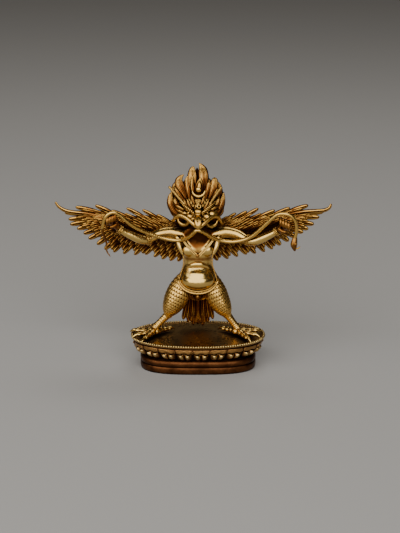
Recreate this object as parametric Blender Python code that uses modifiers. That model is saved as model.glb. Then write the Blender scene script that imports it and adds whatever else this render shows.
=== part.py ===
"""A small cast and gilded garuda figure on its oval lotus plinth, as two closed solids."""

import math

import bmesh
import bpy
import numpy as np
from mathutils import Vector

MM = 0.001

# Lotus plinth. Half-lengths are along X, half-depths along Y. Its outline is an oval, squarer at
# the foot: 2 would be an ellipse.
RIM_HALF_LENGTH = 30.6 * MM
RIM_HALF_DEPTH = 18.4 * MM
RIM_SQUARENESS = 2.25
FOOT_SQUARENESS = 2.9
# Moulding drawn in by 1 at the ends is drawn in by this much at the front and back.
DEPTH_SHARE = 0.65
PLATE_HEIGHT = 14.0 * MM
RIM_RISE = 0.6 * MM
PETALS = 19
SEGMENTS_PER_PETAL = 4
PETAL_SHIFT = 1.4 * MM
PETAL_BULGE = 1.0 * MM
PETAL_SCALLOP = 0.9 * MM

# Figure. The front of the figure faces -Y.
SOLE_GAP = 0.3 * MM
SOLE_HEIGHT = PLATE_HEIGHT + SOLE_GAP
HIP_HEIGHT = 38.5 * MM
BELLY_HEIGHT = 41.3 * MM
SHOULDER_HEIGHT = 59.6 * MM
HEAD_HEIGHT = 73.5 * MM
CREST_HEIGHT = 94.6 * MM
ANKLE_SPREAD = 19.4 * MM
HAND_SPREAD = 38.2 * MM
LEFT_HAND_HEIGHT = 70.0 * MM
RIGHT_HAND_HEIGHT = 67.6 * MM
SNAKE_RADIUS = 1.0 * MM
HAIR_LOCKS = 8

# Toes of a foot: the outer, the two front ones and the hind one. For each, the way it points, in
# radians from straight outwards towards the front, and its length.
TOES = ((-0.22, 11.4 * MM), (0.5, 11.2 * MM), (1.12, 13.0 * MM), (-2.52, 10.6 * MM))

# Wings, measured outwards from the middle of the figure.
WING_BACK = 6.4 * MM
WING_SWEEP = 2.2 * MM
LEFT_TIP_SPREAD = 64.0 * MM
RIGHT_TIP_SPREAD = 60.5 * MM
LOWER_FEATHERS = 13
UPPER_FEATHERS = 7
COVERT_FEATHERS = 9
TAIL_FEATHERS = 7
TAIL_HALF_SPREAD = 7.2 * MM

# The shapes of the figure run into each other at this fineness, and this share of the faces is kept.
CASTING_VOXEL = 0.4 * MM
FIGURE_FACE_SHARE = 0.038

FRONT = Vector((0, -1, 0))


def mm(*values):
    """A point given in millimetres."""
    return Vector(values) * MM


def clear_scene():
    for obj in list(bpy.data.objects):
        bpy.data.objects.remove(obj)


def new_collection(name):
    collection = bpy.data.collections.new(name)
    bpy.context.scene.collection.children.link(collection)
    return collection


def metal(name, colour, roughness):
    material = bpy.data.materials.new(name)
    material.use_nodes = True
    shader = material.node_tree.nodes["Principled BSDF"]
    shader.inputs["Base Color"].default_value = (*colour, 1)
    shader.inputs["Roughness"].default_value = roughness
    shader.inputs["Metallic"].default_value = 1.0
    return material


def add_mesh(name, vertices, faces, collection):
    mesh = bpy.data.meshes.new(name)
    mesh.from_pydata(vertices, [], faces)
    work = bmesh.new()
    work.from_mesh(mesh)
    bmesh.ops.recalc_face_normals(work, faces=work.faces)
    work.to_mesh(mesh)
    work.free()
    obj = bpy.data.objects.new(name, mesh)
    collection.objects.link(obj)
    return obj


def spline(points, count):
    """A smooth run of points through the given ones (Catmull-Rom). Points may carry extra values."""
    given = np.array([list(p) for p in points], float)
    ends = np.vstack([2 * given[0] - given[1], given, 2 * given[-1] - given[-2]])
    spans = len(given) - 1
    smooth = []
    for place in np.linspace(0, spans, count):
        k = min(int(place), spans - 1)
        t = place - k
        a, b, c, d = ends[k : k + 4]
        bend = (2 * a - 5 * b + 4 * c - d) * t**2
        twist = (3 * b - a - 3 * c + d) * t**3
        smooth.append(0.5 * (2 * b + (c - a) * t + bend + twist))
    return smooth


def loft(name, stations, collection, sides=6, facing=FRONT):
    """A closed skin over oval sections. A station is x, y, z, half-width and half-thickness; the
    thickness lies as near to facing as the path lets it."""
    count = len(stations)
    centres = [Vector(s[:3]) for s in stations]
    vertices = []
    for k, station in enumerate(stations):
        along = (centres[min(k + 1, count - 1)] - centres[max(k - 1, 0)]).normalized()
        side = along.cross(facing).normalized()
        front = side.cross(along)
        for j in range(sides):
            angle = 2 * math.pi * j / sides
            offset = side * (station[3] * math.cos(angle)) + front * (station[4] * math.sin(angle))
            vertices.append(centres[k] + offset)
    faces = [list(range(sides)), list(range((count - 1) * sides, count * sides))]
    for k in range(count - 1):
        for j in range(sides):
            a, b = k * sides + j, k * sides + (j + 1) % sides
            faces.append([a, b, b + sides, a + sides])
    return add_mesh(name, vertices, faces, collection)


def tube(name, points, radii, collection, rings, round_steps=1):
    """A tapering round bar: a bevelled curve through the points, made a closed mesh."""
    shape = spline([[*p, r] for p, r in zip(points, radii)], rings)
    curve = bpy.data.curves.new(name, "CURVE")
    curve.dimensions = "3D"
    curve.bevel_depth = 1.0
    curve.bevel_resolution = round_steps
    curve.use_fill_caps = True
    run = curve.splines.new("POLY")
    run.points.add(rings - 1)
    for point, (x, y, z, radius) in zip(run.points, shape):
        point.co = (x, y, z, 1)
        point.radius = radius
    guide = bpy.data.objects.new(name + "_guide", curve)
    bpy.context.scene.collection.objects.link(guide)
    graph = bpy.context.evaluated_depsgraph_get()
    mesh = bpy.data.meshes.new_from_object(guide.evaluated_get(graph))
    work = bmesh.new()
    work.from_mesh(mesh)
    bmesh.ops.remove_doubles(work, verts=work.verts, dist=0.001 * MM)
    work.to_mesh(mesh)
    work.free()
    obj = bpy.data.objects.new(name, mesh)
    obj.matrix_world = guide.matrix_world
    collection.objects.link(obj)
    bpy.data.objects.remove(guide)
    return obj


def ellipsoid(name, centre, radii, collection, segments=10, rings=6):
    """A round mass with its own half-sizes along X, Y and Z."""
    mesh = bpy.data.meshes.new(name)
    work = bmesh.new()
    bmesh.ops.create_uvsphere(work, u_segments=segments, v_segments=rings, radius=1)
    bmesh.ops.scale(work, vec=radii, verts=work.verts)
    work.to_mesh(mesh)
    work.free()
    obj = bpy.data.objects.new(name, mesh)
    obj.location = centre
    collection.objects.link(obj)
    return obj


# Plinth


def oval(inset, squareness, count):
    """Points evenly spaced along the plinth's outline drawn in by inset, from just beside the
    middle of its front."""
    turns = np.linspace(0, 2 * math.pi, 4001)
    across, forward = np.sin(turns), np.cos(turns)
    x = (RIM_HALF_LENGTH - inset) * np.sign(across) * np.abs(across) ** (2 / squareness)
    y = -(RIM_HALF_DEPTH - DEPTH_SHARE * inset) * np.sign(forward) * np.abs(forward) ** (2 / squareness)
    length = np.concatenate([[0], np.cumsum(np.hypot(np.diff(x), np.diff(y)))])
    places = PETAL_SHIFT + np.linspace(0, length[-1], count, endpoint=False)
    return list(zip(np.interp(places, length, x), np.interp(places, length, y)))


def petal_swell(place):
    """How far a petal stands out across its width: two lobes and a seam. place runs from 0 to 1."""
    return math.sin(math.pi * place) ** 0.5 * (1 - 0.25 * math.exp(-(((place - 0.5) / 0.12) ** 2)))


def build_plinth(collection):
    """Rings from the foot to the plate. A ring is its height, its inset from the rim and the
    share of the petals' swell that it takes. The last three make the bead rim and the sunk plate."""
    plate = PLATE_HEIGHT / MM
    foot = [
        (0.0, 4.6, 0),
        (3.3, 4.3, 0),
        (3.7, 5.0, 0),
        (4.5, 4.3, 0),
        (5.4, 5.6, 0),
    ]
    petals_and_rim = [
        (6.0, 5.3, 0.3),
        (8.4, 3.0, 1.0),
        (10.9, 1.2, 0.9),
        (11.5, 1.6, 0.5),
        (12.2, 2.4, 0),
        (12.9, 2.2, 0),
        (13.4, 0.4, 0),
        (plate, 0.0, 0),
        (plate + RIM_RISE / MM, 0.6, 0),
        (plate, 1.5, 0),
    ]
    count = PETALS * SEGMENTS_PER_PETAL
    vertices, faces = [], []
    rings = [(*ring, FOOT_SQUARENESS) for ring in foot]
    rings += [(*ring, RIM_SQUARENESS) for ring in petals_and_rim]
    for height, inset, share, squareness in rings:
        for k, (x, y) in enumerate(oval(inset * MM, squareness, count)):
            place = (k / SEGMENTS_PER_PETAL + 0.5) % 1
            out = Vector((x / RIM_HALF_LENGTH**2, y / RIM_HALF_DEPTH**2, 0)).normalized()
            swell = share * PETAL_BULGE * (petal_swell(place) - 0.4)
            drop = share * PETAL_SCALLOP * (abs(place - 0.5) ** 2) * 2
            vertices.append(Vector((x, y, height * MM - drop)) + out * swell)
    for k in range(len(rings) - 1):
        for j in range(count):
            a, b = k * count + j, k * count + (j + 1) % count
            faces.append([a, b, b + count, a + count])
    faces.append(list(range(count)))
    faces.append(list(range((len(rings) - 1) * count, len(rings) * count)))
    return add_mesh("lotus_plinth", vertices, faces, collection)


# Body


def build_torso(collection):
    """Pelvis to neck, as oval sections: height, half-width, half-depth and middle's place in Y."""
    sections = [
        (30.2, 3.6, 3.0, 1.2),
        (32.5, 7.0, 5.2, 1.0),
        (37.0, 8.3, 6.6, 0.4),
        (41.0, 8.0, 6.8, 0.0),
        (45.0, 6.9, 5.8, 0.0),
        (48.0, 6.5, 5.0, 0.2),
        (53.0, 7.6, 5.6, 0.2),
        (57.0, 8.9, 5.6, 0.6),
        (60.5, 8.2, 4.8, 1.0),
        (63.0, 5.0, 4.2, 0.4),
        (67.5, 4.4, 4.2, -0.8),
        (71.0, 4.0, 4.0, -1.4),
    ]
    stations = [[0, y * MM, z * MM, w * MM, d * MM] for z, w, d, y in sections]
    return loft("garuda_figure", stations, collection, sides=12)


def build_belly(collection):
    """The round belly, the roll above it, the breasts, and the cord slung under it with its knot."""
    ellipsoid("belly", (0, -3.4 * MM, BELLY_HEIGHT), mm(7.8, 5.6, 4.8), collection, 14, 8)
    ellipsoid("belly_roll", mm(0, -3.2, 47.3), mm(5.6, 2.9, 1.7), collection, 10, 6)
    for side in (-1, 1):
        ellipsoid("breast", mm(side * 3.7, -3.9, 53.4), mm(3.5, 2.4, 2.6), collection, 10, 6)
    cord = [
        mm(8.0 * math.sin(a), -1.6 - 5.4 * math.cos(a * 0.5), 40.8 - 4.6 * math.cos(a))
        for a in np.linspace(-1.75, 1.75, 9)
    ]
    tube("belly_cord", cord, [0.75 * MM] * 9, collection, 11, 0)
    ellipsoid("knot", mm(0, -5.6, 33.9), mm(1.5, 1.5, 1.4), collection, 8, 6)


def build_leg(side, collection):
    """A feathered thigh, a thin bird's shank bent outwards, and a foot of long toes. The claws are
    lifted over the bead rim."""
    hip = Vector((side * 5.8 * MM, 0.5 * MM, HIP_HEIGHT))
    ankle = Vector((side * ANKLE_SPREAD, 0, SOLE_HEIGHT + 3.0 * MM))
    hock = mm(side * 13.4, -0.3, 22.9)
    thigh = [hip, mm(side * 8.6, 0.1, 33.2), mm(side * 10.9, -0.2, 28.4), hock]
    tube("thigh", thigh, [4.6 * MM, 5.6 * MM, 4.9 * MM, 2.2 * MM], collection, 8, 3)
    shank = [mm(side * 12.6, -0.3, 24.4), hock, (hock + ankle) / 2, ankle, ankle - mm(side * 0.6, 0.4, 1)]
    tube("shank", shank, [2.0 * MM, 2.2 * MM, 1.6 * MM, 2.0 * MM, 1.4 * MM], collection, 8, 2)
    foot = Vector((ankle.x, ankle.y, SOLE_HEIGHT))
    toe_sections = [(0, 1.6, 0), (0.4, 1.35, 0), (0.64, 1.2, 0.2), (0.84, 0.85, 0.9), (1.0, 0.25, 0.8)]
    for turn, length in TOES:
        reach = Vector((side * math.cos(turn), -math.sin(turn), 0)) * length
        line, radii = [], []
        for t, radius, lift in toe_sections:
            line.append(foot + reach * t + mm(0, 0, radius + lift))
            radii.append(radius * MM)
        tube("toe", line, radii, collection, 5)


def build_arm(side, hand_height, collection):
    """An arm held out and bent up at the elbow, ending in a fist."""
    shoulder = Vector((side * 7.4 * MM, 1.0 * MM, SHOULDER_HEIGHT))
    elbow = mm(side * 23.0, -3.0, 59.6)
    wrist = mm(side * 34.6, -8.0, 65.4)
    hand = Vector((side * HAND_SPREAD, -9.9 * MM, hand_height))
    points = [shoulder, mm(side * 13, 0.4, 60.7), mm(side * 18, -1, 60.5), elbow]
    tube("upper_arm", points, [3.4 * MM, 3.0 * MM, 2.5 * MM, 2.2 * MM], collection, 7, 2)
    points = [elbow - mm(side * 0.8, -0.3, 0.2), mm(side * 28.8, -5.4, 62.3), wrist, (wrist + hand) / 2]
    tube("forearm", points, [2.2 * MM, 2.1 * MM, 1.6 * MM, 1.7 * MM], collection, 7, 2)
    ellipsoid("hand", hand, mm(2.7, 2.6, 3.6), collection, 10, 7)
    for k in range(4):
        start = hand + mm(side * 1.2, -1.2 - 0.2 * k, 2.4 - 1.7 * k)
        line = [start, start + mm(side * 1.6, -1.4, 0), start + mm(side * 3.0, 0.2, -0.3)]
        tube("finger", line, [0.95 * MM, 0.95 * MM, 0.7 * MM], collection, 3, 0)


def build_snake(collection):
    """The snake runs from hand to hand through the beak. Its ends hang outside the fists."""
    left = [
        (39.6, -10.0, 53.9),
        (42.3, -10.8, 63.5),
        (41.2, -11.0, 73.0),
        (38.0, -11.0, 75.2),
        (34.7, -10.5, 73.3),
        (27.6, -8.0, 66.2),
        (18.8, -4.6, 61.6),
        (9.2, -5.4, 60.9),
        (4.5, -9.3, 64.2),
    ]
    beak = (0.0, -11.9, 66.6)
    right = [
        (4.4, -9.4, 64.4),
        (9.0, -5.6, 60.9),
        (18.2, -4.0, 59.7),
        (25.4, -7.0, 64.4),
        (32.4, -9.8, 71.8),
        (36.2, -10.7, 73.9),
        (40.0, -11.0, 73.6),
        (43.4, -10.8, 66.0),
        (42.5, -10.0, 58.8),
    ]
    points = [mm(-x, y, z) for x, y, z in left] + [mm(*beak)] + [mm(*p) for p in right]
    radii = [SNAKE_RADIUS * 0.35, SNAKE_RADIUS * 0.7] + [SNAKE_RADIUS] * (len(points) - 4)
    radii += [SNAKE_RADIUS * 1.5, SNAKE_RADIUS * 0.8]
    tube("snake", points, radii, collection, 60)


# Head


def build_beak(collection):
    """Two halves. A section is its place in Y and Z, its half-width and its half-thickness."""
    upper = [(-3.5, 73.4, 7.2, 3), (-7.5, 72.3, 5.2, 3), (-10.4, 70.6, 2.6, 2.2), (-11.9, 68.2, 0.7, 0.7)]
    lower = [(-3.0, 68.6, 4.6, 2.0), (-7.0, 67.0, 3.2, 1.4), (-9.8, 66.0, 1.0, 0.6)]
    facing = Vector((0, -0.5, 1))
    for name, sections in (("upper_beak", upper), ("lower_beak", lower)):
        stations = [[0, y * MM, z * MM, w * MM, d * MM] for y, z, w, d in sections]
        loft(name, stations, collection, 8, facing)


def build_lock(name, root, lean, length, width, collection):
    """A flame of hair: it leaves its root leaning sideways by an angle, and its tip turns up."""
    stations = []
    for t, share in ((0, 0.8), (0.5, 1.0), (0.84, 0.75), (1.0, 0.25)):
        angle = lean * (1 - 0.22 * t)
        reach = Vector((math.sin(angle), 0.12 * t, math.cos(angle))) * length * t
        half = width * share
        stations.append([*(root + reach), half, half * 0.6])
    loft(name, stations, collection, 5)


def build_head(collection):
    """Skull, beak, bulging eyes and cheeks, brows, horns, and the crescent with its jewel."""
    ellipsoid("skull", (0, -1.4 * MM, HEAD_HEIGHT), mm(8.2, 7.4, 7.6), collection, 12, 8)
    build_beak(collection)
    for side in (-1, 1):
        ellipsoid("eye", mm(side * 3.9, -7.7, 74.2), mm(1.5, 1.3, 1.5), collection, 8, 6)
        ellipsoid("cheek", mm(side * 7.2, -4.4, 70.8), mm(3.0, 3.0, 2.6), collection, 8, 6)
        brow = [mm(side * 1.4, -9.2, 75.3), mm(side * 4.8, -8.4, 76.8), mm(side * 9.6, -4.6, 79.0)]
        tube("brow", brow, [1.0 * MM, 1.2 * MM, 0.4 * MM], collection, 5)
        horn = [mm(side * 5.4, -5.6, 76.6), mm(side * 8.6, -4.4, 80.6), mm(side * 11.2, -2.6, 83.8)]
        tube("horn", horn, [1.2 * MM, 1.0 * MM, 0.5 * MM], collection, 5)
    moon = [
        mm(3.0 * math.sin(a), -4.8 + 0.6 * math.cos(a), 82.6 - 3.0 * math.cos(a))
        for a in np.linspace(-1.75, 1.75, 7)
    ]
    tube("crescent", moon, [v * MM for v in (0.3, 0.7, 0.9, 1.0, 0.9, 0.7, 0.3)], collection, 11)
    ellipsoid("moon_jewel", mm(0, -3.8, 83.0), mm(1.5, 1.6, 1.8), collection, 8, 6)
    ellipsoid("forelock", mm(0, -1.2, 80.0), mm(5.4, 3.4, 6.0), collection, 10, 6)
    build_hair(collection)


def build_hair(collection):
    """A fan of flames about the head. The top one is the longest, and the lowest curl past the cheeks."""
    top = CREST_HEIGHT - 74 * MM
    crown = mm(0, -0.4, 74.4)
    build_lock("crest", crown, 0.04, top, 3.8 * MM, collection)
    for side, fullness in ((-1, 1.0), (1, 0.93)):
        for k, lean in enumerate(np.linspace(0.2, 2.5, HAIR_LOCKS)):
            length = top * fullness * (0.61 + 0.36 * math.exp(-lean / 0.7))
            build_lock("lock", crown + mm(0, 0.2 * k, 0), side * lean, length, 3.2 * MM, collection)
    build_lock("back_hair", mm(0, 3.0, 72.0), 0.0, 17 * MM, 6.5 * MM, collection)


# Wings and tail


def wing_point(side, out, height, forward=0.0):
    """A place on a wing. The wing bows backwards towards its tip."""
    back = WING_BACK + WING_SWEEP * (out / LEFT_TIP_SPREAD) ** 2
    return Vector((side * out, back - forward, height))


def build_feather(name, side, tip_out, tip_height, angle, length, width, forward, collection, curl=0.0):
    """A blade that points outwards and up by an angle; curl lifts its end."""
    stations = []
    for t, share in ((0, 0.7), (0.6, 1.0), (0.86, 0.75), (0.94, 0.5), (1.0, 0.12)):
        out = tip_out - length * (1 - t) * math.cos(angle)
        height = tip_height - length * (1 - t) * math.sin(angle) - curl * (1 - t**8)
        thick = (0.75 - 0.3 * t) * MM
        stations.append([*wing_point(side, out, height, forward * (1 - 0.5 * t)), width * share, thick])
    loft(name, stations, collection, sides=4)


def build_wing(side, spread, collection):
    """A plate with three rows of feathers on it, and one long feather that curls up at the tip."""
    scale = spread / LEFT_TIP_SPREAD
    plate = [(2.0, 57.5, 8.6), (12.0, 58.2, 8.4), (26.0, 60.4, 7.2), (40.0, 63.8, 5.6), (51.0, 67.6, 3.4)]
    stations = [
        [*wing_point(side, out * MM * scale, height * MM, 0.3 * MM), half * MM, 1.2 * MM]
        for out, height, half in plate
    ]
    loft("wing_plate", stations, collection)
    for k in range(LOWER_FEATHERS):
        t = k / (LOWER_FEATHERS - 1)
        out = (12.5 + 45.5 * t) * MM * scale
        height = (46.4 + 7.0 * t + 12.0 * t**5) * MM
        angle = -(0.92 - 0.5 * t - 0.4 * t**3)
        length = (13.5 + 6.5 * t) * MM
        build_feather("lower_feather", side, out, height, angle, length, 2.1 * MM, 0.0, collection)
    for k in range(COVERT_FEATHERS):
        t = k / (COVERT_FEATHERS - 1)
        out = (10.5 + 37.0 * t) * MM * scale
        height = (52.4 + 4.0 * t + 7.0 * t**4) * MM
        angle = -(0.86 - 0.5 * t - 0.3 * t**3)
        build_feather("covert", side, out, height, angle, 9.5 * MM, 2.2 * MM, 1.1 * MM, collection)
    for k in range(UPPER_FEATHERS):
        t = k / (UPPER_FEATHERS - 1)
        out = (15.5 + 40.0 * t) * MM * scale
        height = (67.8 + 7.6 * t**0.6 - 4.0 * t) * MM
        angle = 0.56 - 0.32 * t
        length = (14.0 + 9.0 * min(1.0, 2 * t)) * MM
        build_feather("upper_feather", side, out, height, angle, length, 2.3 * MM, 0.5 * MM, collection)
    tip, length, curl = 74.0 * MM, 27 * MM, 4.5 * MM
    build_feather("long_feather", side, spread, tip, 0.05, length, 1.7 * MM, 0.2 * MM, collection, curl)


def build_tail(collection):
    """A fan of long feathers that hangs from the rump to the plate."""
    rump = mm(0, 5.2, 35.5)
    for k in range(TAIL_FEATHERS):
        across = 2 * k / (TAIL_FEATHERS - 1) - 1
        tip = Vector((across * TAIL_HALF_SPREAD, 9.8 * MM - abs(across) * MM, SOLE_HEIGHT))
        tip.z += (0.4 + 5.0 * across**2) * MM
        root = rump + mm(across * 3.5, 0.2 * (k % 2), 0)
        stations = []
        for t, half in ((0, 1.2), (0.3, 1.7), (0.75, 1.9), (1.0, 1.2)):
            place = root.lerp(tip, t) + mm(0, 1.6 * math.sin(math.pi * t) + 0.5 * (k % 2), 0)
            stations.append([*place, half * MM, 0.8 * MM])
        loft("tail_feather", stations, collection, sides=4)


def join_into(figure, parts):
    """Adds every shape's mesh to the figure's, where it lies, and removes the shapes."""
    work = bmesh.new()
    work.from_mesh(figure.data)
    for part in list(parts.objects):
        part.data.transform(part.matrix_basis)
        work.from_mesh(part.data)
        bpy.data.objects.remove(part)
    work.to_mesh(figure.data)
    work.free()


def build_figure(collection, parts):
    """The torso with every other shape united to it, as the figure was cast in one."""
    figure = build_torso(collection)
    build_belly(parts)
    build_head(parts)
    build_snake(parts)
    build_tail(parts)
    for side, spread in ((-1, LEFT_TIP_SPREAD), (1, RIGHT_TIP_SPREAD)):
        build_leg(side, parts)
        build_wing(side, spread, parts)
    build_arm(-1, LEFT_HAND_HEIGHT, parts)
    build_arm(1, RIGHT_HAND_HEIGHT, parts)
    join_into(figure, parts)
    cast = figure.modifiers.new("cast_in_one", "REMESH")
    cast.mode = "VOXEL"
    cast.voxel_size = CASTING_VOXEL
    thin = figure.modifiers.new("fewer_faces", "DECIMATE")
    thin.ratio = FIGURE_FACE_SHARE
    return figure


def main():
    clear_scene()
    object_parts = new_collection("garuda")
    shapes = new_collection("figure_shapes")
    shapes.hide_render = True
    plinth = build_plinth(object_parts)
    plinth.data.materials.append(metal("gilt_plinth", (0.62, 0.40, 0.15), 0.42))
    figure = build_figure(object_parts, shapes)
    figure.data.materials.append(metal("gilt_figure", (0.83, 0.60, 0.24), 0.30))


main()
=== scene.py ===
"""Looks of a small gilt copper garuda on its lotus plinth: chased figure, wings, hair, jewellery,
snake and petals, all as modelled relief, with worn gilding over red-brown copper."""

import math

import bpy
import numpy as np
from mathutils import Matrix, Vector


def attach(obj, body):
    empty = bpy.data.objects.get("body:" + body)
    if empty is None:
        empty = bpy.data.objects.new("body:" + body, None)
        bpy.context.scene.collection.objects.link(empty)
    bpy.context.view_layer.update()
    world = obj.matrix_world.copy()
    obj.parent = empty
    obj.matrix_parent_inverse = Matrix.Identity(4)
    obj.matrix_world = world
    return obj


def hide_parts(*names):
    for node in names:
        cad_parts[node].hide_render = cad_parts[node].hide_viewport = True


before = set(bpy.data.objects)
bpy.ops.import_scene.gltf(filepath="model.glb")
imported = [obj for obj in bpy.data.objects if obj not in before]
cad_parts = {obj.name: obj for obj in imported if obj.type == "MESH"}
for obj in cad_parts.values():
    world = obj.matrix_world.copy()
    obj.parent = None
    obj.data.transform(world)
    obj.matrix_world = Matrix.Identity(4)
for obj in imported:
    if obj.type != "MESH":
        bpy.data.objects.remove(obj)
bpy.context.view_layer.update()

# Shapes are worked out in millimetres and written in metres.
MM = 0.001
FRONT = np.array([0.0, -1.0, 0.0])
BACK = -FRONT
UP = np.array([0.0, 0.0, 1.0])
SIDEWAYS = np.array([1.0, 0.0, 0.0])

# Camera: the photograph looks down on the figure a little, through a long lens.
PICTURE_WIDTH_PX = 400
MM_PER_PX = 0.45
CAMERA_LIFT_DEG = 17.0
CAMERA_DISTANCE = 0.80
AIM = (0.9, 0.0, 46.3)

# Studio, in metres: each soft panel's place, its width and height, and its power in watts.
LIGHTS = (
    ("front_panel", (-0.20, -1.01, 0.66), (2.6, 1.3), 30.0),
    ("side_panel", (-0.70, -0.20, 0.45), (0.30, 0.40), 0.6),
    ("top_panel", (0.15, 0.35, 0.75), (0.50, 0.30), 1.4),
)
LIT_SPOT = (0, 0, 0.05)
ROOM_COLOUR = (1.0, 0.82, 0.6)
ROOM_LIGHT = 0.04
FLOOR_COLOUR = (0.42, 0.405, 0.38)
FLOOR_REACH = 4.0

# Gilding: how much paler it is where polished, a painted sheen; how far off a recess's sides count,
# in millimetres, near for patina and painted shade in the recesses and far for painted shade under
# and between parts; the scales of its wear and roughness, and the scale and depth of its dents and
# its grain.
PAINTED_SHEEN_LIFT = (0.27, 0.27, 0.12)
NEAR_PATINA_AND_SHADE = 1.2
FAR_PAINTED_SHADE = 6.0
WEAR_SCALE = 200.0
ROUGH_SCALE = 700.0
DENT_SCALE, DENT_DEPTH = 260.0, 0.3
GRAIN_SCALE, GRAIN_DEPTH = 1500.0, 0.08
BUMP_STRENGTH = 0.35

# Plinth
RIM_HALF_LENGTH = 30.6
RIM_HALF_DEPTH = 18.4
# Moulding drawn in by 1 at the ends is drawn in by this much at the front and back.
DEPTH_SHARE = 0.65
# The outline is an oval, squarer at the foot: 2 would be an ellipse.
RIM_SQUARENESS = 2.25
FOOT_SQUARENESS = 2.9
FOOT_DARKNESS = 0.38
PLATE_HEIGHT = 14.0
# The plate's polish, which also paints it paler as a sheen.
PLATE_POLISH_AND_SHEEN = 0.3
PETALS = 19
PETAL_LOW = 6.2
PETAL_RISE = 6.0
PETAL_POINTS = 36
# How far the first petal's middle lies from the middle of the front.
PETAL_SHIFT = 1.4
RIM_BEADS = 140

# Wings. A feather is named by its tip, and by the root that it grows from. Both are given as the
# distance out from the middle of the figure and the height.
WING_BACK = 6.6
WING_SWEEP = 2.2
WING_TIP_SPREAD = 64.0
BARB_PITCH = 1.0
# Pairs up to these numbers are the rods above and the spikes at the tip. The rest hang below.
UPPER_LAST = 7
FAN_LAST = 14
LEFT_WING = (
    ((12.4, 66.2), (3.0, 58.0)), ((18.5, 68.6), (5.5, 58.4)), ((25.0, 70.9), (9.5, 58.8)),
    ((32.1, 71.6), (15.5, 59.4)), ((39.0, 70.4), (22.5, 60.2)), ((46.2, 72.7), (29.5, 61.8)),
    ((55.1, 71.8), (34.0, 64.0)), ((60.0, 69.0), (37.0, 65.2)), ((58.4, 66.0), (38.0, 65.2)),
    ((57.7, 63.6), (38.0, 64.2)), ((54.6, 61.6), (37.0, 63.4)), ((51.7, 59.4), (36.0, 62.8)),
    ((49.5, 57.0), (34.0, 62.0)), ((45.7, 54.4), (32.0, 61.6)), ((42.3, 52.1), (30.0, 61.0)),
    ((38.3, 50.9), (27.8, 59.5)), ((33.8, 50.2), (23.3, 58.8)), ((28.8, 49.7), (18.3, 58.3)),
    ((23.9, 49.9), (13.4, 58.5)), ((19.9, 48.8), (9.4, 57.4)), ((16.4, 47.8), (5.9, 56.4)),
    ((12.8, 47.1), (2.3, 55.6)), ((9.2, 46.8), (1.5, 54.8)),
)
RIGHT_WING = (
    ((13.5, 67.8), (3.0, 58.0)), ((17.1, 69.4), (5.5, 58.4)), ((22.0, 70.2), (8.5, 58.8)),
    ((27.2, 71.5), (12.5, 59.4)), ((34.6, 70.6), (18.5, 60.2)), ((41.4, 71.6), (25.0, 61.4)),
    ((49.6, 72.7), (31.0, 63.4)), ((56.5, 69.4), (35.0, 65.0)), ((54.7, 67.0), (37.0, 65.4)),
    ((52.3, 63.8), (37.0, 64.2)), ((49.8, 61.6), (36.5, 63.2)), ((47.5, 60.0), (35.5, 62.6)),
    ((44.2, 57.8), (34.0, 62.0)), ((41.0, 56.0), (32.0, 61.4)), ((37.4, 54.2), (29.5, 61.0)),
    ((33.8, 52.4), (23.3, 61.0)), ((30.2, 51.2), (19.7, 59.8)), ((26.1, 50.4), (15.6, 59.0)),
    ((22.0, 50.0), (11.5, 58.6)), ((18.0, 49.0), (7.5, 57.6)), ((13.7, 48.0), (3.2, 56.6)),
    ((9.0, 47.2), (1.5, 55.1)),
)
# The longest feather curls up at its end.
LEFT_LONG_FEATHER = (
    (36.0, 66.6), (44.0, 67.6), (50.5, 68.7), (55.5, 69.3), (59.5, 70.1), (62.6, 71.9), (64.2, 74.1),
)
RIGHT_LONG_FEATHER = (
    (35.0, 67.2), (42.0, 68.6), (48.0, 69.6), (53.0, 70.0), (57.0, 70.4), (59.2, 71.6), (59.9, 73.3),
)
# The bone along each wing: distance out, height and radius.
WING_BONE = ((3, 58.5, 3.2), (12, 59.6, 2.6), (24, 60.6, 2.2), (33, 62.8, 1.7), (38, 65.0, 0.9))

# Rows of shorter feathers laid over each wing. A row runs from one pair's number to another, or to
# the last, every so many pairs and shifted by some. Then come how far its feathers reach to the
# tips, their half-width, how far they stand forward, where they start, and how much painted shade
# they take there, where they grow from.
WING_ROWS = (
    (0.0, UPPER_LAST, 0.5, 0.5, 0.80, 0.66, 0.4, 0.0, 0.9),
    (0.0, UPPER_LAST, 0.33, 0.2, 0.69, 0.54, 0.75, 0.0, 0.9),
    (0.0, UPPER_LAST, 0.33, 0.1, 0.57, 0.50, 1.05, 0.0, 0.9),
    (0.0, UPPER_LAST, 0.33, 0.0, 0.44, 0.48, 1.35, -0.05, 0.9),
    (0.0, UPPER_LAST, 0.33, 0.2, 0.30, 0.46, 1.6, -0.1, 0.9),
    (UPPER_LAST, FAN_LAST, 0.5, 0.5, 0.76, 0.86, 0.45, 0.1, 0.8),
    (UPPER_LAST, FAN_LAST, 0.5, 0.25, 0.62, 0.72, 0.85, 0.1, 0.8),
    (UPPER_LAST, FAN_LAST, 0.5, 0.0, 0.48, 0.66, 1.2, 0.1, 0.8),
    (UPPER_LAST, FAN_LAST, 0.5, 0.25, 0.34, 0.60, 1.5, 0.0, 0.8),
    (FAN_LAST, None, 1.0, 0.5, 0.86, 1.0, 0.5, 0.3, 1.0),
    (FAN_LAST, None, 1.0, 0.0, 0.72, 1.0, 0.95, 0.2, 1.0),
    (FAN_LAST, None, 1.0, 0.5, 0.58, 0.95, 1.35, 0.15, 1.0),
    (FAN_LAST, None, 1.0, 0.0, 0.44, 0.9, 1.7, 0.1, 1.0),
    (FAN_LAST, None, 0.5, 0.5, 0.30, 0.75, 1.95, 0.0, 0.9),
)

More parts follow.
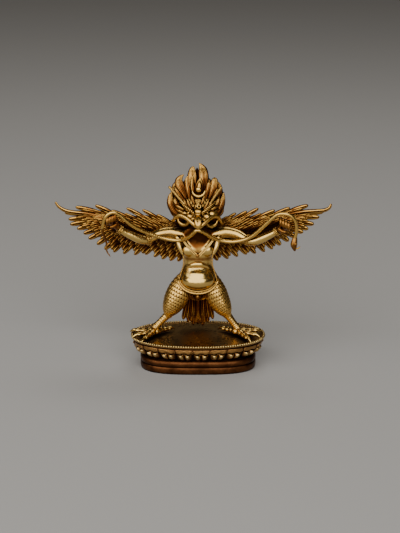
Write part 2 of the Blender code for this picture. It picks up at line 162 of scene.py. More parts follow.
# Arms from the shoulder to the wrist. In a list of keys each is x, y, z and the radius there.
ARMS = (
    ((-8.5, 0.6, 61.4, 2.7), (-12.5, 0.4, 62.2, 2.6), (-17.0, -0.8, 62.0, 2.3), (-20.4, -2.2, 60.8, 2.05),
     (-22.8, -3.4, 59.8, 2.0), (-25.6, -4.6, 60.4, 2.05), (-29.4, -5.8, 62.4, 1.9),
     (-33.0, -7.0, 64.6, 1.5), (-35.2, -7.8, 66.2, 1.35)),
    ((8.5, 0.6, 61.4, 2.7), (12.5, 0.4, 62.2, 2.6), (17.0, -0.8, 61.8, 2.3), (20.4, -2.2, 60.4, 2.05),
     (22.6, -3.4, 59.3, 2.0), (25.4, -4.6, 59.6, 2.05), (29.2, -5.8, 61.4, 1.9),
     (33.0, -7.0, 63.6, 1.5), (35.4, -7.8, 65.2, 1.35)),
)
# A finger from its knuckle, and the thumb from the middle of the fist, for the figure's left hand.
FINGER = (
    (0.0, 0.0, 0.0, 0.75), (0.05, -1.6, 0.9, 0.74), (0.1, -2.9, 0.3, 0.70), (0.1, -3.2, -1.2, 0.64),
    (0.05, -2.3, -2.2, 0.58), (0.0, -1.2, -1.9, 0.5),
)
THUMB = (
    (-2.2, -0.4, -1.4, 0.95), (-2.3, -1.9, -0.9, 0.9), (-1.0, -3.0, -1.6, 0.72), (0.3, -3.4, -1.9, 0.6),
)
# A toe and its claw: the share of the way along, the radius and how far it clears the plate.
TOE = ((0.0, 2.0, 0.1), (0.3, 1.7, 0.1), (0.55, 1.4, 0.1), (0.8, 1.15, 0.3))
CLAW = ((0.78, 0.95, 0.45), (0.92, 0.74, 0.85), (1.04, 0.45, 0.6), (1.12, 0.12, 0.25))

# Snake, from the tail that hangs at the right hand to the head that hangs at the left one.
SNAKE_TAIL = (
    (-39.0, -9.0, 53.8, 0.2), (-40.5, -8.8, 56.4, 0.34), (-40.6, -8.8, 60.4, 0.46),
    (-41.9, -10.2, 65.0, 0.62), (-42.2, -11.2, 67.8, 0.74),
)
SNAKE = (
    (-42.2, -11.2, 67.6, 0.75), (-40.6, -11.9, 72.6, 0.84), (-37.6, -11.9, 74.7, 0.86),
    (-34.4, -11.0, 73.2, 0.86), (-31.0, -10.0, 69.9, 0.86), (-26.8, -8.2, 66.4, 0.86),
    (-20.3, -6.0, 62.9, 0.86), (-13.4, -4.6, 60.4, 0.86), (-7.6, -6.0, 60.4, 0.86),
    (-3.4, -9.6, 63.4, 0.86), (-0.6, -11.6, 66.4, 0.86), (2.4, -10.8, 65.4, 0.86),
    (5.6, -8.0, 62.6, 0.86), (9.4, -5.4, 60.2, 0.86), (14.9, -4.6, 59.2, 0.86),
    (20.5, -5.6, 60.4, 0.86), (24.4, -7.0, 62.8, 0.86), (28.3, -8.6, 66.8, 0.86),
    (32.2, -10.2, 71.0, 0.86), (35.2, -11.2, 73.6, 0.86), (38.6, -11.9, 74.0, 0.86),
    (41.4, -11.7, 72.6, 0.86), (43.0, -11.2, 69.8, 0.86), (43.4, -10.8, 66.0, 0.84),
    (42.8, -10.4, 62.6, 0.86),
)
SNAKE_HEAD = (
    (42.9, -10.4, 62.8, 1.0), (42.6, -10.5, 61.2, 1.35), (42.4, -10.6, 59.6, 1.5),
    (42.6, -10.6, 58.2, 1.1), (42.8, -10.6, 57.2, 0.6),
)

# Locks of hair from the forehead up, with half-widths. The first ones make the crest, and one is the
# dark flame behind the jewel.
CREST_LOCKS = 2
FLAME_LOCK = 2
HAIR = (
    ((0.9, -5.4, 76.6, 1.5), (1.9, -4.0, 82.5, 2.1), (2.4, -3.0, 87.7, 2.35),
     (2.35, -2.4, 89.8, 2.27), (2.15, -2.2, 91.5, 2.0), (1.7, -2.2, 92.8, 1.44),
     (1.1, -2.2, 93.9, 0.7), (0.5, -2.2, 94.7, 0.1)),
    ((-1.1, -5.4, 76.6, 1.4), (-2.4, -4.0, 82.5, 2.0), (-2.55, -3.0, 87.9, 2.3),
     (-2.55, -2.3, 90.0, 1.95), (-2.45, -2.1, 91.4, 1.55), (-2.2, -2.0, 92.4, 1.0),
     (-1.9, -2.0, 93.1, 0.3)),
    ((0.5, -5.6, 79.8, 1.89), (0.5, -4.9, 83.4, 2.34), (0.8, -4.3, 86.0, 1.71),
     (1.0, -4.0, 88.5, 0.11)),
    ((-2.9, -6.2, 77.6, 1.17), (-4.0, -4.9, 81.5, 1.44), (-4.6, -3.8, 84.9, 1.4),
     (-4.9, -3.2, 87.3, 0.9), (-4.6, -3.2, 89.2, 0.11)),
    ((-1.3, -6.2, 78.1, 0.99), (-2.2, -5.0, 82.4, 1.17), (-2.6, -4.2, 85.5, 1.08),
     (-2.4, -3.6, 87.9, 0.72), (-1.9, -3.6, 89.9, 0.11)),
    ((-3.8, -5.4, 76.4, 1.35), (-6.4, -4.2, 81.3, 2.02), (-7.9, -3.0, 84.4, 2.29),
     (-8.4, -2.4, 86.6, 1.8), (-7.6, -2.2, 88.3, 0.99), (-6.2, -2.4, 89.5, 0.11)),
    ((3.6, -5.4, 76.4, 1.35), (5.6, -4.2, 81.0, 1.94), (6.8, -3.0, 84.2, 2.07),
     (7.3, -2.4, 86.3, 1.67), (7.4, -2.2, 87.5, 1.1), (7.4, -2.2, 88.2, 0.25)),
    ((2.6, -6.2, 77.9, 1.03), (3.9, -4.9, 81.9, 1.3), (4.7, -3.8, 84.9, 1.12),
     (5.1, -3.2, 87.3, 0.18)),
    ((-4.5, -6.6, 76.6, 0.9), (-7.2, -5.6, 79.9, 1.03), (-9.2, -4.4, 82.5, 0.9),
     (-10.4, -3.6, 84.6, 0.16)),
    ((4.4, -6.6, 76.6, 0.9), (6.7, -5.6, 79.8, 0.99), (8.2, -4.4, 82.3, 0.85),
     (9.0, -3.6, 84.2, 0.16)),
    ((-7.0, -5.6, 71.1, 1.17), (-10.1, -4.4, 73.1, 1.71), (-11.9, -3.0, 75.9, 1.8),
     (-12.2, -2.2, 79.0, 1.26), (-11.5, -1.8, 81.8, 0.16)),
    ((-6.1, -6.2, 73.4, 0.9), (-8.6, -5.4, 75.5, 1.26), (-9.9, -4.2, 77.6, 1.12),
     (-10.1, -3.6, 79.8, 0.16)),
    ((-6.3, -5.6, 69.7, 0.81), (-9.0, -4.6, 70.7, 1.08), (-11.3, -3.4, 72.5, 0.95),
     (-12.8, -2.6, 74.9, 0.16)),
    ((6.5, -5.6, 71.1, 1.17), (8.9, -4.4, 73.3, 1.62), (10.3, -3.0, 75.9, 1.62),
     (11.0, -2.2, 78.6, 1.12), (11.5, -1.8, 81.3, 0.16)),
    ((5.8, -6.2, 73.4, 0.9), (7.5, -5.4, 75.5, 1.22), (8.7, -4.2, 77.7, 1.08),
     (9.2, -3.6, 79.9, 0.16)),
    ((6.1, -5.6, 69.7, 0.77), (8.4, -4.6, 70.9, 0.99), (10.5, -3.4, 72.8, 0.9),
     (11.4, -2.6, 75.3, 0.16)),
    ((-7.4, -1.6, 76.0, 2.2), (-9.4, -0.8, 80.4, 2.4), (-10.0, -0.4, 83.6, 1.6),
     (-9.4, -0.2, 86.2, 0.2)),
    ((7.0, -1.6, 76.0, 2.2), (8.6, -0.8, 80.4, 2.3), (9.2, -0.4, 83.4, 1.5), (9.0, -0.2, 85.6, 0.2)),
)
CHEEK_HAIR = (
    ((-10.5, -4.8, 76.8, 0.5), (-8.6, -6.4, 75.9, 0.75), (-6.2, -7.6, 75.0, 0.3)),
    ((9.3, -4.8, 76.3, 0.5), (7.7, -6.4, 75.7, 0.75), (5.8, -7.6, 74.9, 0.3)),
    ((-10.0, -4.6, 74.6, 0.5), (-8.4, -5.8, 73.9, 0.75), (-6.4, -7.2, 73.4, 0.3)),
    ((9.2, -4.6, 74.2, 0.5), (7.8, -5.8, 73.6, 0.75), (6.2, -7.2, 73.0, 0.3)),
)
# Short locks between the brows and the hairline, given for the figure's left side.
BROW_LOCKS = (
    ((2.6, -8.7, 75.4, 0.4), (3.8, -8.1, 77.2, 0.75), (4.7, -6.8, 79.4, 0.4)),
    ((4.3, -8.3, 75.9, 0.4), (5.4, -7.4, 77.4, 0.75), (6.0, -6.3, 79.2, 0.3)),
    ((1.4, -8.9, 77.6, 0.4), (2.2, -8.2, 79.4, 0.7), (2.9, -6.9, 81.4, 0.3)),
)
# Heights of the rows of curls on the forehead.
FOREHEAD_ROWS = (74.9, 75.9, 76.9, 77.9, 78.8)
CURL_TURNS = 1.4
BROW_MARK = (0.5, -8.7, 76.6)
# Balls painted dark as shade, which close the mouth and the throat behind the lips: middles and
# half-sizes.
MOUTH_SHADOW_BALLS = (
    ((0, 0.4, 67.8), (10.0, 3.4, 5.2)),
    ((0, -3.8, 68.8), (7.6, 3.2, 2.6)),
    ((0, -6.8, 67.0), (4.6, 2.8, 1.3)),
)
# The lips' rolls and the rings below them, first the figure's right side.
LIPS = (
    ((-11.0, -3.8, 68.6, 0.5), (-10.5, -4.8, 69.8, 0.8), (-9.6, -5.6, 71.2, 0.95),
     (-8.2, -6.6, 72.0, 1.0), (-6.6, -7.6, 71.9, 1.05), (-5.0, -8.6, 71.3, 1.1),
     (-3.4, -9.8, 70.3, 1.1), (-1.9, -11.0, 69.2, 0.95), (-0.7, -12.0, 68.0, 0.6)),
    ((-8.8, -5.4, 70.4, 0.4), (-8.4, -6.0, 68.9, 0.65), (-6.8, -6.8, 67.9, 0.8),
     (-5.2, -7.8, 68.1, 0.8), (-4.2, -8.8, 69.2, 0.6)),
    ((10.6, -3.6, 67.4, 0.5), (9.9, -4.4, 69.2, 0.8), (8.6, -5.6, 71.0, 0.95), (7.0, -6.8, 71.6, 1.0),
     (5.4, -8.0, 71.2, 1.1), (3.8, -9.4, 70.2, 1.1), (2.2, -10.8, 69.0, 0.95),
     (0.9, -12.0, 67.8, 0.6)),
    ((8.6, -5.2, 69.4, 0.4), (8.0, -5.8, 67.9, 0.65), (6.4, -6.6, 67.0, 0.8), (4.8, -7.6, 67.4, 0.75),
     (3.9, -8.6, 68.6, 0.55)),
)


# How thick a leaf or feather is behind its middle, as a share of its front.
BLADE_BACK = 0.6


# Mesh kit


class Piece:
    """Collects closed surfaces in millimetres. Each point carries how polished it is, which also paints
    it paler as a sheen, and how dark it is painted, from 0 to 1: patina and shade deep in its hollows,
    and painted shade where parts meet, hide one another or stand for holes."""

    def __init__(self):
        self.points = []
        self.faces = []
        self.polish_and_sheen = []
        self.patina_and_shade = []
        self.count = 0

    def add(self, points, faces, polish_and_sheen=0.0, patina_and_shade=0.0):
        """Adds one closed surface. Faces are arrays of rows of three or four point numbers."""
        volume = 0.0
        for group in faces:
            for k in range(1, group.shape[1] - 1):
                a, b, c = points[group[:, 0]], points[group[:, k]], points[group[:, k + 1]]
                volume += np.einsum("ij,ij->", a, np.cross(b, c))
        for group in faces:
            turned = group if volume > 0 else group[:, ::-1]
            self.faces += (turned + self.count).tolist()
        self.points.append(points)
        self.polish_and_sheen.append(np.broadcast_to(polish_and_sheen, len(points)))
        self.patina_and_shade.append(np.broadcast_to(patina_and_shade, len(points)))
        self.count += len(points)

    def mesh(self, name):
        mesh = bpy.data.meshes.new(name)
        mesh.from_pydata((np.concatenate(self.points) * MM).tolist(), [], self.faces)
        for kind, parts in (("polish_and_sheen", self.polish_and_sheen), ("patina_and_shade", self.patina_and_shade)):
            layer = mesh.attributes.new(kind, "FLOAT", "POINT")
            layer.data.foreach_set("value", np.concatenate(parts).astype(np.float32))
        mesh.shade_smooth()
        return mesh


def circle(count):
    return np.linspace(0, 2 * np.pi, count, endpoint=False)


def unit(vectors):
    return vectors / np.maximum(np.linalg.norm(vectors, axis=-1, keepdims=True), 1e-12)


def spline(keys, count):
    """A smooth run of rows through the given ones (Catmull-Rom)."""
    given = np.asarray(keys, float)
    ends = np.vstack([2 * given[0] - given[1], given, 2 * given[-1] - given[-2]])
    places = np.linspace(0, len(given) - 1, count)
    k = np.minimum(places.astype(int), len(given) - 2)
    t = (places - k)[:, None]
    a, b, c, d = ends[k], ends[k + 1], ends[k + 2], ends[k + 3]
    bend = (2 * a - 5 * b + 4 * c - d) * t**2
    twist = (3 * b - a - 3 * c + d) * t**3
    return 0.5 * (2 * b + (c - a) * t + bend + twist)


def frames(line, facing):
    """The way along a line, its side, and its front, which lies as near to facing as it can."""
    along = unit(np.gradient(line, axis=0))
    side = unit(np.cross(along, facing))
    return along, side, np.cross(side, along)


def run_length(line):
    steps = np.linalg.norm(np.diff(line, axis=0), axis=1)
    return np.concatenate([[0], np.cumsum(steps)])


def sided(side, keys):
    """Keys for one side of the figure: as given for 1, mirrored for -1."""
    return [(side * key[0], *key[1:]) for key in keys]


def moved(start, keys):
    return [(start[0] + x, start[1] + y, start[2] + z, radius) for x, y, z, radius in keys]


def run_of(start, way, spots):
    """Keys along a straight way, from shares of it and the size at each."""
    return [(*(start + way * t), size) for t, size in spots]


def depth_of(marks):
    """How deep each place of a relief lies, from 0 at its highest to 1 at its lowest."""
    reach = marks.max() - marks.min()
    return (marks.max() - marks) / reach if reach > 1e-6 else np.zeros_like(marks)


def skin(piece, rings, polish_and_sheen=0.0, ends=None, patina_and_shade=0.0):
    """Closes rings of points, given as rows, around and x y z, with a point at each end."""
    rows, around = rings.shape[:2]
    first, last = ends if ends is not None else (rings[0].mean(0), rings[-1].mean(0))
    points = np.concatenate([rings.reshape(-1, 3), [first], [last]])
    index = np.arange(rows * around).reshape(rows, around)
    after = np.roll(index, -1, axis=1)
    quads = np.stack([index[:-1], after[:-1], after[1:], index[1:]], -1).reshape(-1, 4)
    low = np.stack([after[0], index[0], np.full(around, rows * around)], -1)
    high = np.stack([index[-1], after[-1], np.full(around, rows * around + 1)], -1)
    deep = np.concatenate([np.broadcast_to(patina_and_shade, (rows, around)).ravel(), [0, 0]])
    shine = np.concatenate([np.broadcast_to(polish_and_sheen, (rows, around)).ravel(), [0, 0]])
    piece.add(points, [quads, low, high], shine, deep)


def rod(piece, keys, around=10, steps=24, facing=FRONT, flat=1.0, relief=None, polish_and_sheen=0.0, patina_and_shade=0.0):
    """A round bar with domed ends. A key is x, y, z and radius. flat is how thick it is from front
    to back for its width. relief gives a height from the angle around and the share of the way."""
    line = spline(keys, steps)
    centres, radii = line[:, :3], np.maximum(line[:, 3], 0.02)
    along, side, front = frames(centres, facing)
    share = np.linspace(0, 1, steps)
    angles = circle(around)
    domes = np.radians([70, 40, 15])
    start = centres[0] - along[0] * radii[0] * np.sin(domes)[:, None]
    stop = centres[-1] + along[-1] * radii[-1] * np.sin(domes[::-1])[:, None]
    centres = np.concatenate([start, centres, stop])
    radii = np.concatenate([radii[0] * np.cos(domes), radii, radii[-1] * np.cos(domes[::-1])])
    side = np.concatenate([side[:1].repeat(3, 0), side, side[-1:].repeat(3, 0)])
    front = np.concatenate([front[:1].repeat(3, 0), front, front[-1:].repeat(3, 0)])
    share = np.concatenate([np.zeros(3), share, np.ones(3)])
    reach = radii[:, None] * np.ones(around)
    deep = patina_and_shade
    if relief is not None:
        marks = relief(angles[None, :], share[:, None]) * np.ones_like(reach)
        # Low places of the relief are painted darker, as patina and shade.
        deep = np.clip(patina_and_shade + 0.8 * depth_of(marks) ** 2, 0, 1)
        reach = reach + marks
    out = side[:, None] * np.cos(angles)[:, None] + front[:, None] * flat * np.sin(angles)[:, None]
    skin(piece, centres[:, None] + out * reach[..., None], polish_and_sheen, patina_and_shade=deep)


def blade(piece, keys, thick, facing=FRONT, relief=None, across=9, steps=20, both=False, polish_and_sheen=0.0,
          root=0.0, patina_and_shade=0.0):
    """A leaf, feather or lock of hair. A key is x, y, z and half-width. Its domed face looks along
    facing, and both carves its back too. relief gives a height from the place across, -1 to 1, and
    the distance along. root is how much painted shade it takes where it grows from, and the last
    argument how dark it is painted all over, as patina and shade. Its edges and the low places of
    its relief are painted darker too: shade where it meets its neighbours, patina and shade in the
    hollows."""
    line = spline(keys, steps)
    centres, half = line[:, :3], np.maximum(line[:, 3], 0.03)
    side, front = frames(centres, facing)[1:]
    length = run_length(centres)[:, None]
    across_top = np.sin(np.linspace(-np.pi / 2, np.pi / 2, across))
    fill = np.minimum(1, half / half.max() * 1.6)[:, None]
    top = thick * np.sqrt(1 - across_top**2) * fill
    low = -top * BLADE_BACK
    # Painted shade: darker towards the edges, where it meets its neighbours.
    deep = 0.85 * across_top**4 + 0 * length
    if relief is not None:
        marks = relief(across_top[None, :], length)
        deep = np.maximum(deep, 0.9 * depth_of(marks) ** 1.3)
        marks = marks * np.sqrt(1 - across_top**2) ** 0.5 * fill
        top = top + marks
        if both:
            low = low - marks
    deep = np.clip(deep + root * (1 - 1.5 * length / length[-1]) + patina_and_shade, 0, 1)
    width = across_top * half[:, None]
    face = centres[:, None] + side[:, None] * width[..., None] + front[:, None] * top[..., None]
    under = centres[:, None] + side[:, None] * width[..., None] + front[:, None] * low[..., None]
    pick = slice(1, -1, 1 if both else 2)
    rings = np.concatenate([face, under[:, pick][:, ::-1]], 1)
    skin(piece, rings, polish_and_sheen, patina_and_shade=np.concatenate([deep, deep[:, pick][:, ::-1]], 1))


def ball(piece, centre, radii, around=16, rows=10, polish_and_sheen=0.0, patina_and_shade=0.0):
    """An egg shape with its own half-sizes."""
    turn = circle(around)
    rise = np.linspace(-np.pi / 2, np.pi / 2, rows + 2)[1:-1, None]
    x, y, z = np.broadcast_arrays(np.cos(rise) * np.cos(turn), np.cos(rise) * np.sin(turn), np.sin(rise))
    radii = np.broadcast_to(np.asarray(radii, float), 3)
    rings = np.asarray(centre) + np.stack([x, y, z], -1) * radii
    poles = np.asarray(centre) + np.array([[0, 0, -radii[2]], [0, 0, radii[2]]])
    skin(piece, rings, polish_and_sheen, poles, patina_and_shade)


def hoop(piece, centre, axis, radius, thickness, around=36, sides=10, polish_and_sheen=0.0):
    """A ring about an axis."""
    axis = unit(np.asarray(axis, float))
    helper = UP if abs(axis[2]) < 0.9 else SIDEWAYS
    first = unit(np.cross(helper, axis))
    second = np.cross(axis, first)
    turn = circle(around)[:, None, None]
    tilt = circle(sides)[None, :, None]
    reach = radius + thickness * np.cos(tilt)
    ring = reach * (first * np.cos(turn) + second * np.sin(turn))
    points = np.asarray(centre) + ring + axis * thickness * np.sin(tilt)
    index = np.arange(around * sides).reshape(around, sides)
    right, down = np.roll(index, -1, 1), np.roll(index, -1, 0)
    both = np.roll(down, -1, 1)
    quads = np.stack([index, right, both, down], -1).reshape(-1, 4)
    piece.add(points.reshape(-1, 3), [quads], polish_and_sheen)


def beads(piece, keys, radius, polish_and_sheen=0.0):
    """A string of touching beads along a line of x, y, z keys."""
    line = spline(keys, 200)
    length = run_length(line)
    count = max(2, int(length[-1] / (1.9 * radius)))
    for reach in np.linspace(0, length[-1], count):
        centre = [np.interp(reach, length, line[:, k]) for k in range(3)]
        ball(piece, centre, radius, 8, 5, polish_and_sheen=polish_and_sheen)


def melt(piece, voxel, smoothing):
    """Runs a piece's surfaces into one, as in a casting: remeshed in small cubes and smoothed."""
    mesh = piece.mesh("melting")
    obj = bpy.data.objects.new("melting", mesh)
    bpy.context.scene.collection.objects.link(obj)
    cast = obj.modifiers.new("cast", "REMESH")
    cast.mode = "VOXEL"
    cast.voxel_size = voxel * MM
    soft = obj.modifiers.new("soft", "SMOOTH")
    soft.factor = 0.5
    soft.iterations = smoothing
    graph = bpy.context.evaluated_depsgraph_get()
    done = obj.evaluated_get(graph).to_mesh()
    points = np.empty(len(done.vertices) * 3)
    done.vertices.foreach_get("co", points)
    corners = np.empty(len(done.loops), np.int64)
    done.loops.foreach_get("vertex_index", corners)
    quads = corners.reshape(-1, 4)
    bpy.data.objects.remove(obj)
    return points.reshape(-1, 3) / MM, quads


# Materials


def gilt(name, gold, copper, dark, roughness):
    """Fire gilding over cast copper: paler and smoother where polished, the paleness a painted sheen,
    red copper where it is worn thin, and dark brown in the recesses. Occlusion and the points' painted
    darkness turn it copper and dark brown: patina in the hollows, and painted shade in them and
    under and between parts."""
    material = bpy.data.materials.new(name)
    material.use_nodes = True
    nodes, links = material.node_tree.nodes, material.node_tree.links
    shader = nodes["Principled BSDF"]
    shader.inputs["Metallic"].default_value = 1.0
    coordinates = nodes.new("ShaderNodeTexCoord").outputs["Object"]

    def feed(node, values):
        for name, value in values.items():
            if isinstance(value, bpy.types.NodeSocket):
                links.new(value, node.inputs[name])
            else:
                node.inputs[name].default_value = (*value, 1) if isinstance(value, tuple) else value

    def noise(scale, detail, rough):
        node = nodes.new("ShaderNodeTexNoise")
        feed(node, {"Scale": scale, "Detail": detail, "Roughness": rough, "Vector": coordinates})
        return node.outputs["Fac"]

    def remap(value, low, high, to_low, to_high):
        node = nodes.new("ShaderNodeMapRange")
        node.interpolation_type = "SMOOTHSTEP"
        feed(node, {"Value": value, "From Min": low, "From Max": high, "To Min": to_low, "To Max": to_high})
        return node.outputs["Result"]

    def mix(share, first, second):
        node = nodes.new("ShaderNodeMix")
        node.data_type = "RGBA"
        feed(node, {0: share, 6: first, 7: second})
        return node.outputs[2]

    def combine(kind, first, second):
        node = nodes.new("ShaderNodeMath")
        node.operation = kind
        node.use_clamp = True
        feed(node, {0: first, 1: second})
        return node.outputs[0]

    def painted(kind):
        node = nodes.new("ShaderNodeAttribute")
        node.attribute_name = kind
        return node.outputs["Fac"]

    def shut_in(reach):
        node = nodes.new("ShaderNodeAmbientOcclusion")
        node.samples = 8
        feed(node, {"Distance": reach * MM})
        return node.outputs["AO"]

    def bump(height, distance, **normal):
        node = nodes.new("ShaderNodeBump")
        feed(node, {"Strength": BUMP_STRENGTH, "Distance": distance * MM, "Height": height, **normal})
        return node.outputs["Normal"]

    polished = painted("polish_and_sheen")
    # Painted shade: occlusion close by, in the recesses, stands for patina and shade; occlusion far off
    # stands for shade under and between parts.
    near = remap(shut_in(NEAR_PATINA_AND_SHADE), 0.15, 0.95, 1.0, 0.0)
    far = remap(shut_in(FAR_PAINTED_SHADE), 0.05, 0.85, 0.85, 0.0)
    shade = combine("MAXIMUM", combine("MAXIMUM", near, far), painted("patina_and_shade"))
    worn = remap(noise(WEAR_SCALE, 6.0, 0.65), 0.4, 0.68, 0.0, 0.5)
    worn = combine("MULTIPLY", worn, combine("SUBTRACT", 1.0, polished))
    shade = combine("ADD", shade, combine("MULTIPLY", worn, 0.35))
    pale = tuple(part + lift for part, lift in zip(gold, PAINTED_SHEEN_LIFT))
    # Painted sheen: polished points are painted paler.
    colour = mix(combine("MULTIPLY", polished, 0.8), gold, pale)
    colour = mix(remap(shade, 0.08, 0.42, 0.0, 1.0), colour, copper)
    colour = mix(remap(shade, 0.28, 0.70, 0.0, 1.0), colour, dark)
    links.new(colour, shader.inputs["Base Color"])
    rough = remap(noise(ROUGH_SCALE, 6.0, 0.7), 0.3, 0.7, roughness - 0.06, roughness + 0.08)
    rough = combine("SUBTRACT", rough, combine("MULTIPLY", polished, 0.07))
    rough = combine("ADD", rough, combine("MULTIPLY", shade, 0.28))
    links.new(rough, shader.inputs["Roughness"])
    dents = bump(noise(DENT_SCALE, 2.0, 0.5), DENT_DEPTH)
    grained = bump(noise(GRAIN_SCALE, 5.0, 0.6), GRAIN_DEPTH, Normal=dents)
    links.new(grained, shader.inputs["Normal"])
    return material


def plaster(name, colour):
    material = bpy.data.materials.new(name)
    material.use_nodes = True
    shader = material.node_tree.nodes["Principled BSDF"]
    shader.inputs["Base Color"].default_value = (*colour, 1)
    shader.inputs["Roughness"].default_value = 0.8
    return material


GILT_FIGURE = gilt("gilt_figure", (0.56, 0.30, 0.055), (0.20, 0.062, 0.013), (0.018, 0.005, 0.001), 0.26)
GILT_PLINTH = gilt("gilt_plinth", (0.34, 0.175, 0.052), (0.13, 0.046, 0.015), (0.014, 0.005, 0.002), 0.31)


def place(piece, name, node, material):
    """Makes a piece's object, which stands for a CAD node."""
    obj = bpy.data.objects.new(name, piece.mesh(name))
    bpy.context.scene.collection.objects.link(obj)
    obj.data.materials.append(material)
    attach(obj, "root")
    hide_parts(node)


def place_figure(piece, name):
    place(piece, name, "garuda_figure", GILT_FIGURE)


# Plinth


def oval(inset, count, squareness=RIM_SQUARENESS):
    """Evenly spaced points along the plinth's outline drawn in by inset, from beside the middle of
    its front, and the way out at each."""
    half_length, half_depth = RIM_HALF_LENGTH - inset, RIM_HALF_DEPTH - DEPTH_SHARE * inset
    turns = np.linspace(0, 2 * np.pi, 6001)
    across, forward = np.sin(turns), np.cos(turns)
    x = half_length * np.sign(across) * np.abs(across) ** (2 / squareness)
    y = -half_depth * np.sign(forward) * np.abs(forward) ** (2 / squareness)
    length = run_length(np.column_stack([x, y]))
    places = (PETAL_SHIFT + np.linspace(0, length[-1], count, endpoint=False)) % length[-1]
    points = np.column_stack([np.interp(places, length, x), np.interp(places, length, y)])
    share = points / (half_length, half_depth)
    out = np.sign(share) * np.abs(share) ** (squareness - 1) / (half_length, half_depth)
    return points, unit(out)


def smoothstep(low, high, x):
    t = np.clip((x - low) / (high - low), 0, 1)
    return t * t * (3 - 2 * t)


def bump_at(x, centre, width):
    return np.exp(-(((x - centre) / width) ** 2))


def petal_relief(across, rise):
    """How far a petal stands out, how far it droops, and how dark it is painted: patina and shade in
    its grooves and in the gaps between petals, and painted shade low down towards its waist. across
    runs from -1 to 1 over one petal, and rise from 0 at the waist to 1 at the lip."""
    edge = np.abs(across)
    open_width = 0.78 + 0.2 * smoothstep(0.0, 0.5, rise) + 0.14 * smoothstep(0.64, 0.74, rise)
    inside = np.clip(1 - (edge / open_width) ** 6, 0, 1)
    wave = rise - 0.03 * np.cos(2 * np.pi * across)
    lean = edge - 0.40 - 0.25 * (rise - 0.42)
    lobes = 1.5 * np.exp(-(np.hypot(lean / 0.34, (rise - 0.42) / 0.23) ** 3))
    cleft = bump_at(edge, 0.0, 0.07) * (1 - smoothstep(0.56, 0.66, rise))
    cut = -0.5 * bump_at(wave, 0.68, 0.03)
    lip = 0.65 * smoothstep(0.70, 0.76, wave) * (1 - 0.5 * smoothstep(0.82, 1.0, wave))
    standing = inside * (0.1 + lobes - 0.3 * cleft + lip) + cut - 0.35 * (1 - inside)
    # Darker in the gaps and along the cut, as patina and shade, and towards the waist, as painted shade
    # under the petals.
    deep = 0.9 * (1 - inside) + 0.9 * bump_at(wave, 0.68, 0.04) + 0.9 * (1 - smoothstep(0.08, 0.26, rise))
    return standing, 0.3 * edge**3 * smoothstep(0.5, 1.0, rise), np.clip(deep + 0.6 * cleft, 0, 1)


def build_plinth():
    """Foot mouldings, petals, the channel under the rim painted dark as patina and shade, bead rim and
    plate, as rings of height and inset.
    """
    foot = [
        (0.0, 6.0), (0.0, 5.1), (0.10, 4.75), (0.45, 4.5), (1.2, 4.36), (2.0, 4.34), (2.7, 4.42),
        (3.1, 4.62), (3.25, 4.9), (3.38, 5.08), (3.52, 4.9), (3.7, 4.62), (4.3, 4.36), (5.0, 4.38),
        (5.5, 4.62), (5.9, 5.0), (6.1, 5.4),
    ]
    petals = []
    for z in np.linspace(PETAL_LOW, PETAL_LOW + PETAL_RISE, 48):
        petals.append((z, 5.6 - 4.0 * ((z - PETAL_LOW) / PETAL_RISE) ** 0.65))
    top = [
        (12.45, 1.75), (12.65, 2.0), (12.85, 1.95), (12.98, 1.5), (13.08, 0.9), (13.22, 0.55),
        (13.45, 0.36), (13.75, 0.34), (13.95, 0.55), (14.0, 0.95), (13.98, 1.3), (13.9, 1.6),
        (13.86, 2.0), (13.86, 4.0), (13.9, 8.0), (13.92, 14.0),
    ]
    piece = Piece()
    count = PETALS * PETAL_POINTS
    across = ((np.arange(count) / PETAL_POINTS + 0.5) % 1) * 2 - 1
    rings, grooves, shines = [], [], []
    for height, inset in foot + petals + top:
        on_foot = height < PETAL_LOW
        points, out = oval(inset, count, FOOT_SQUARENESS if on_foot else RIM_SQUARENESS)
        lift, drop, deep = np.zeros(count), np.zeros(count), np.zeros(count)
        if on_foot:
            deep += FOOT_DARKNESS
        elif height < 12.25:
            lift, drop, deep = petal_relief(across, (height - PETAL_LOW) / PETAL_RISE)
        # These channels are painted dark, as patina and shade.
        if 3.2 < height < 3.6 or 12.3 < height < 13.1:
            deep += 0.6
        # Painted sheen: the plate is painted paler where polished, and the raised lobes of the petals are
        # painted paler as highlights.
        shine = 0 * lift
        if height > 13.8 and inset > 1.8:
            shine += PLATE_POLISH_AND_SHEEN
        elif height < PETAL_LOW + 0.62 * PETAL_RISE:
            shine = 0.5 * lift
        shines.append(np.clip(shine, 0, 1))
        rings.append(np.column_stack([points + out * lift[:, None], height - drop]))
        grooves.append(np.clip(deep, 0, 1))
    skin(piece, np.array(rings), np.array(shines), patina_and_shade=np.array(grooves))
    points, out = oval(0.62, RIM_BEADS)
    for x, y in points:
        ball(piece, (x, y, 14.05), (0.6, 0.6, 0.55), 12, 8, polish_and_sheen=1.0)
    tips, out = oval(1.15, PETALS * 2)
    spots = ((-2.2, 9.4, 0.5), (-1.2, 10.5, 0.6), (-0.3, 11.4, 0.5), (0.2, 12.1, 0.06))
    for (x, y), (u, v) in zip(tips[1::2], out[1::2]):
        keys = [(x + reach * u, y + reach * v, z, half) for reach, z, half in spots]
        blade(piece, keys, 0.6, np.array([u, v, 0.3]), across=9, steps=12, root=0.9)
    place(piece, "lotus_plinth_relief", "lotus_plinth", GILT_PLINTH)


# Body


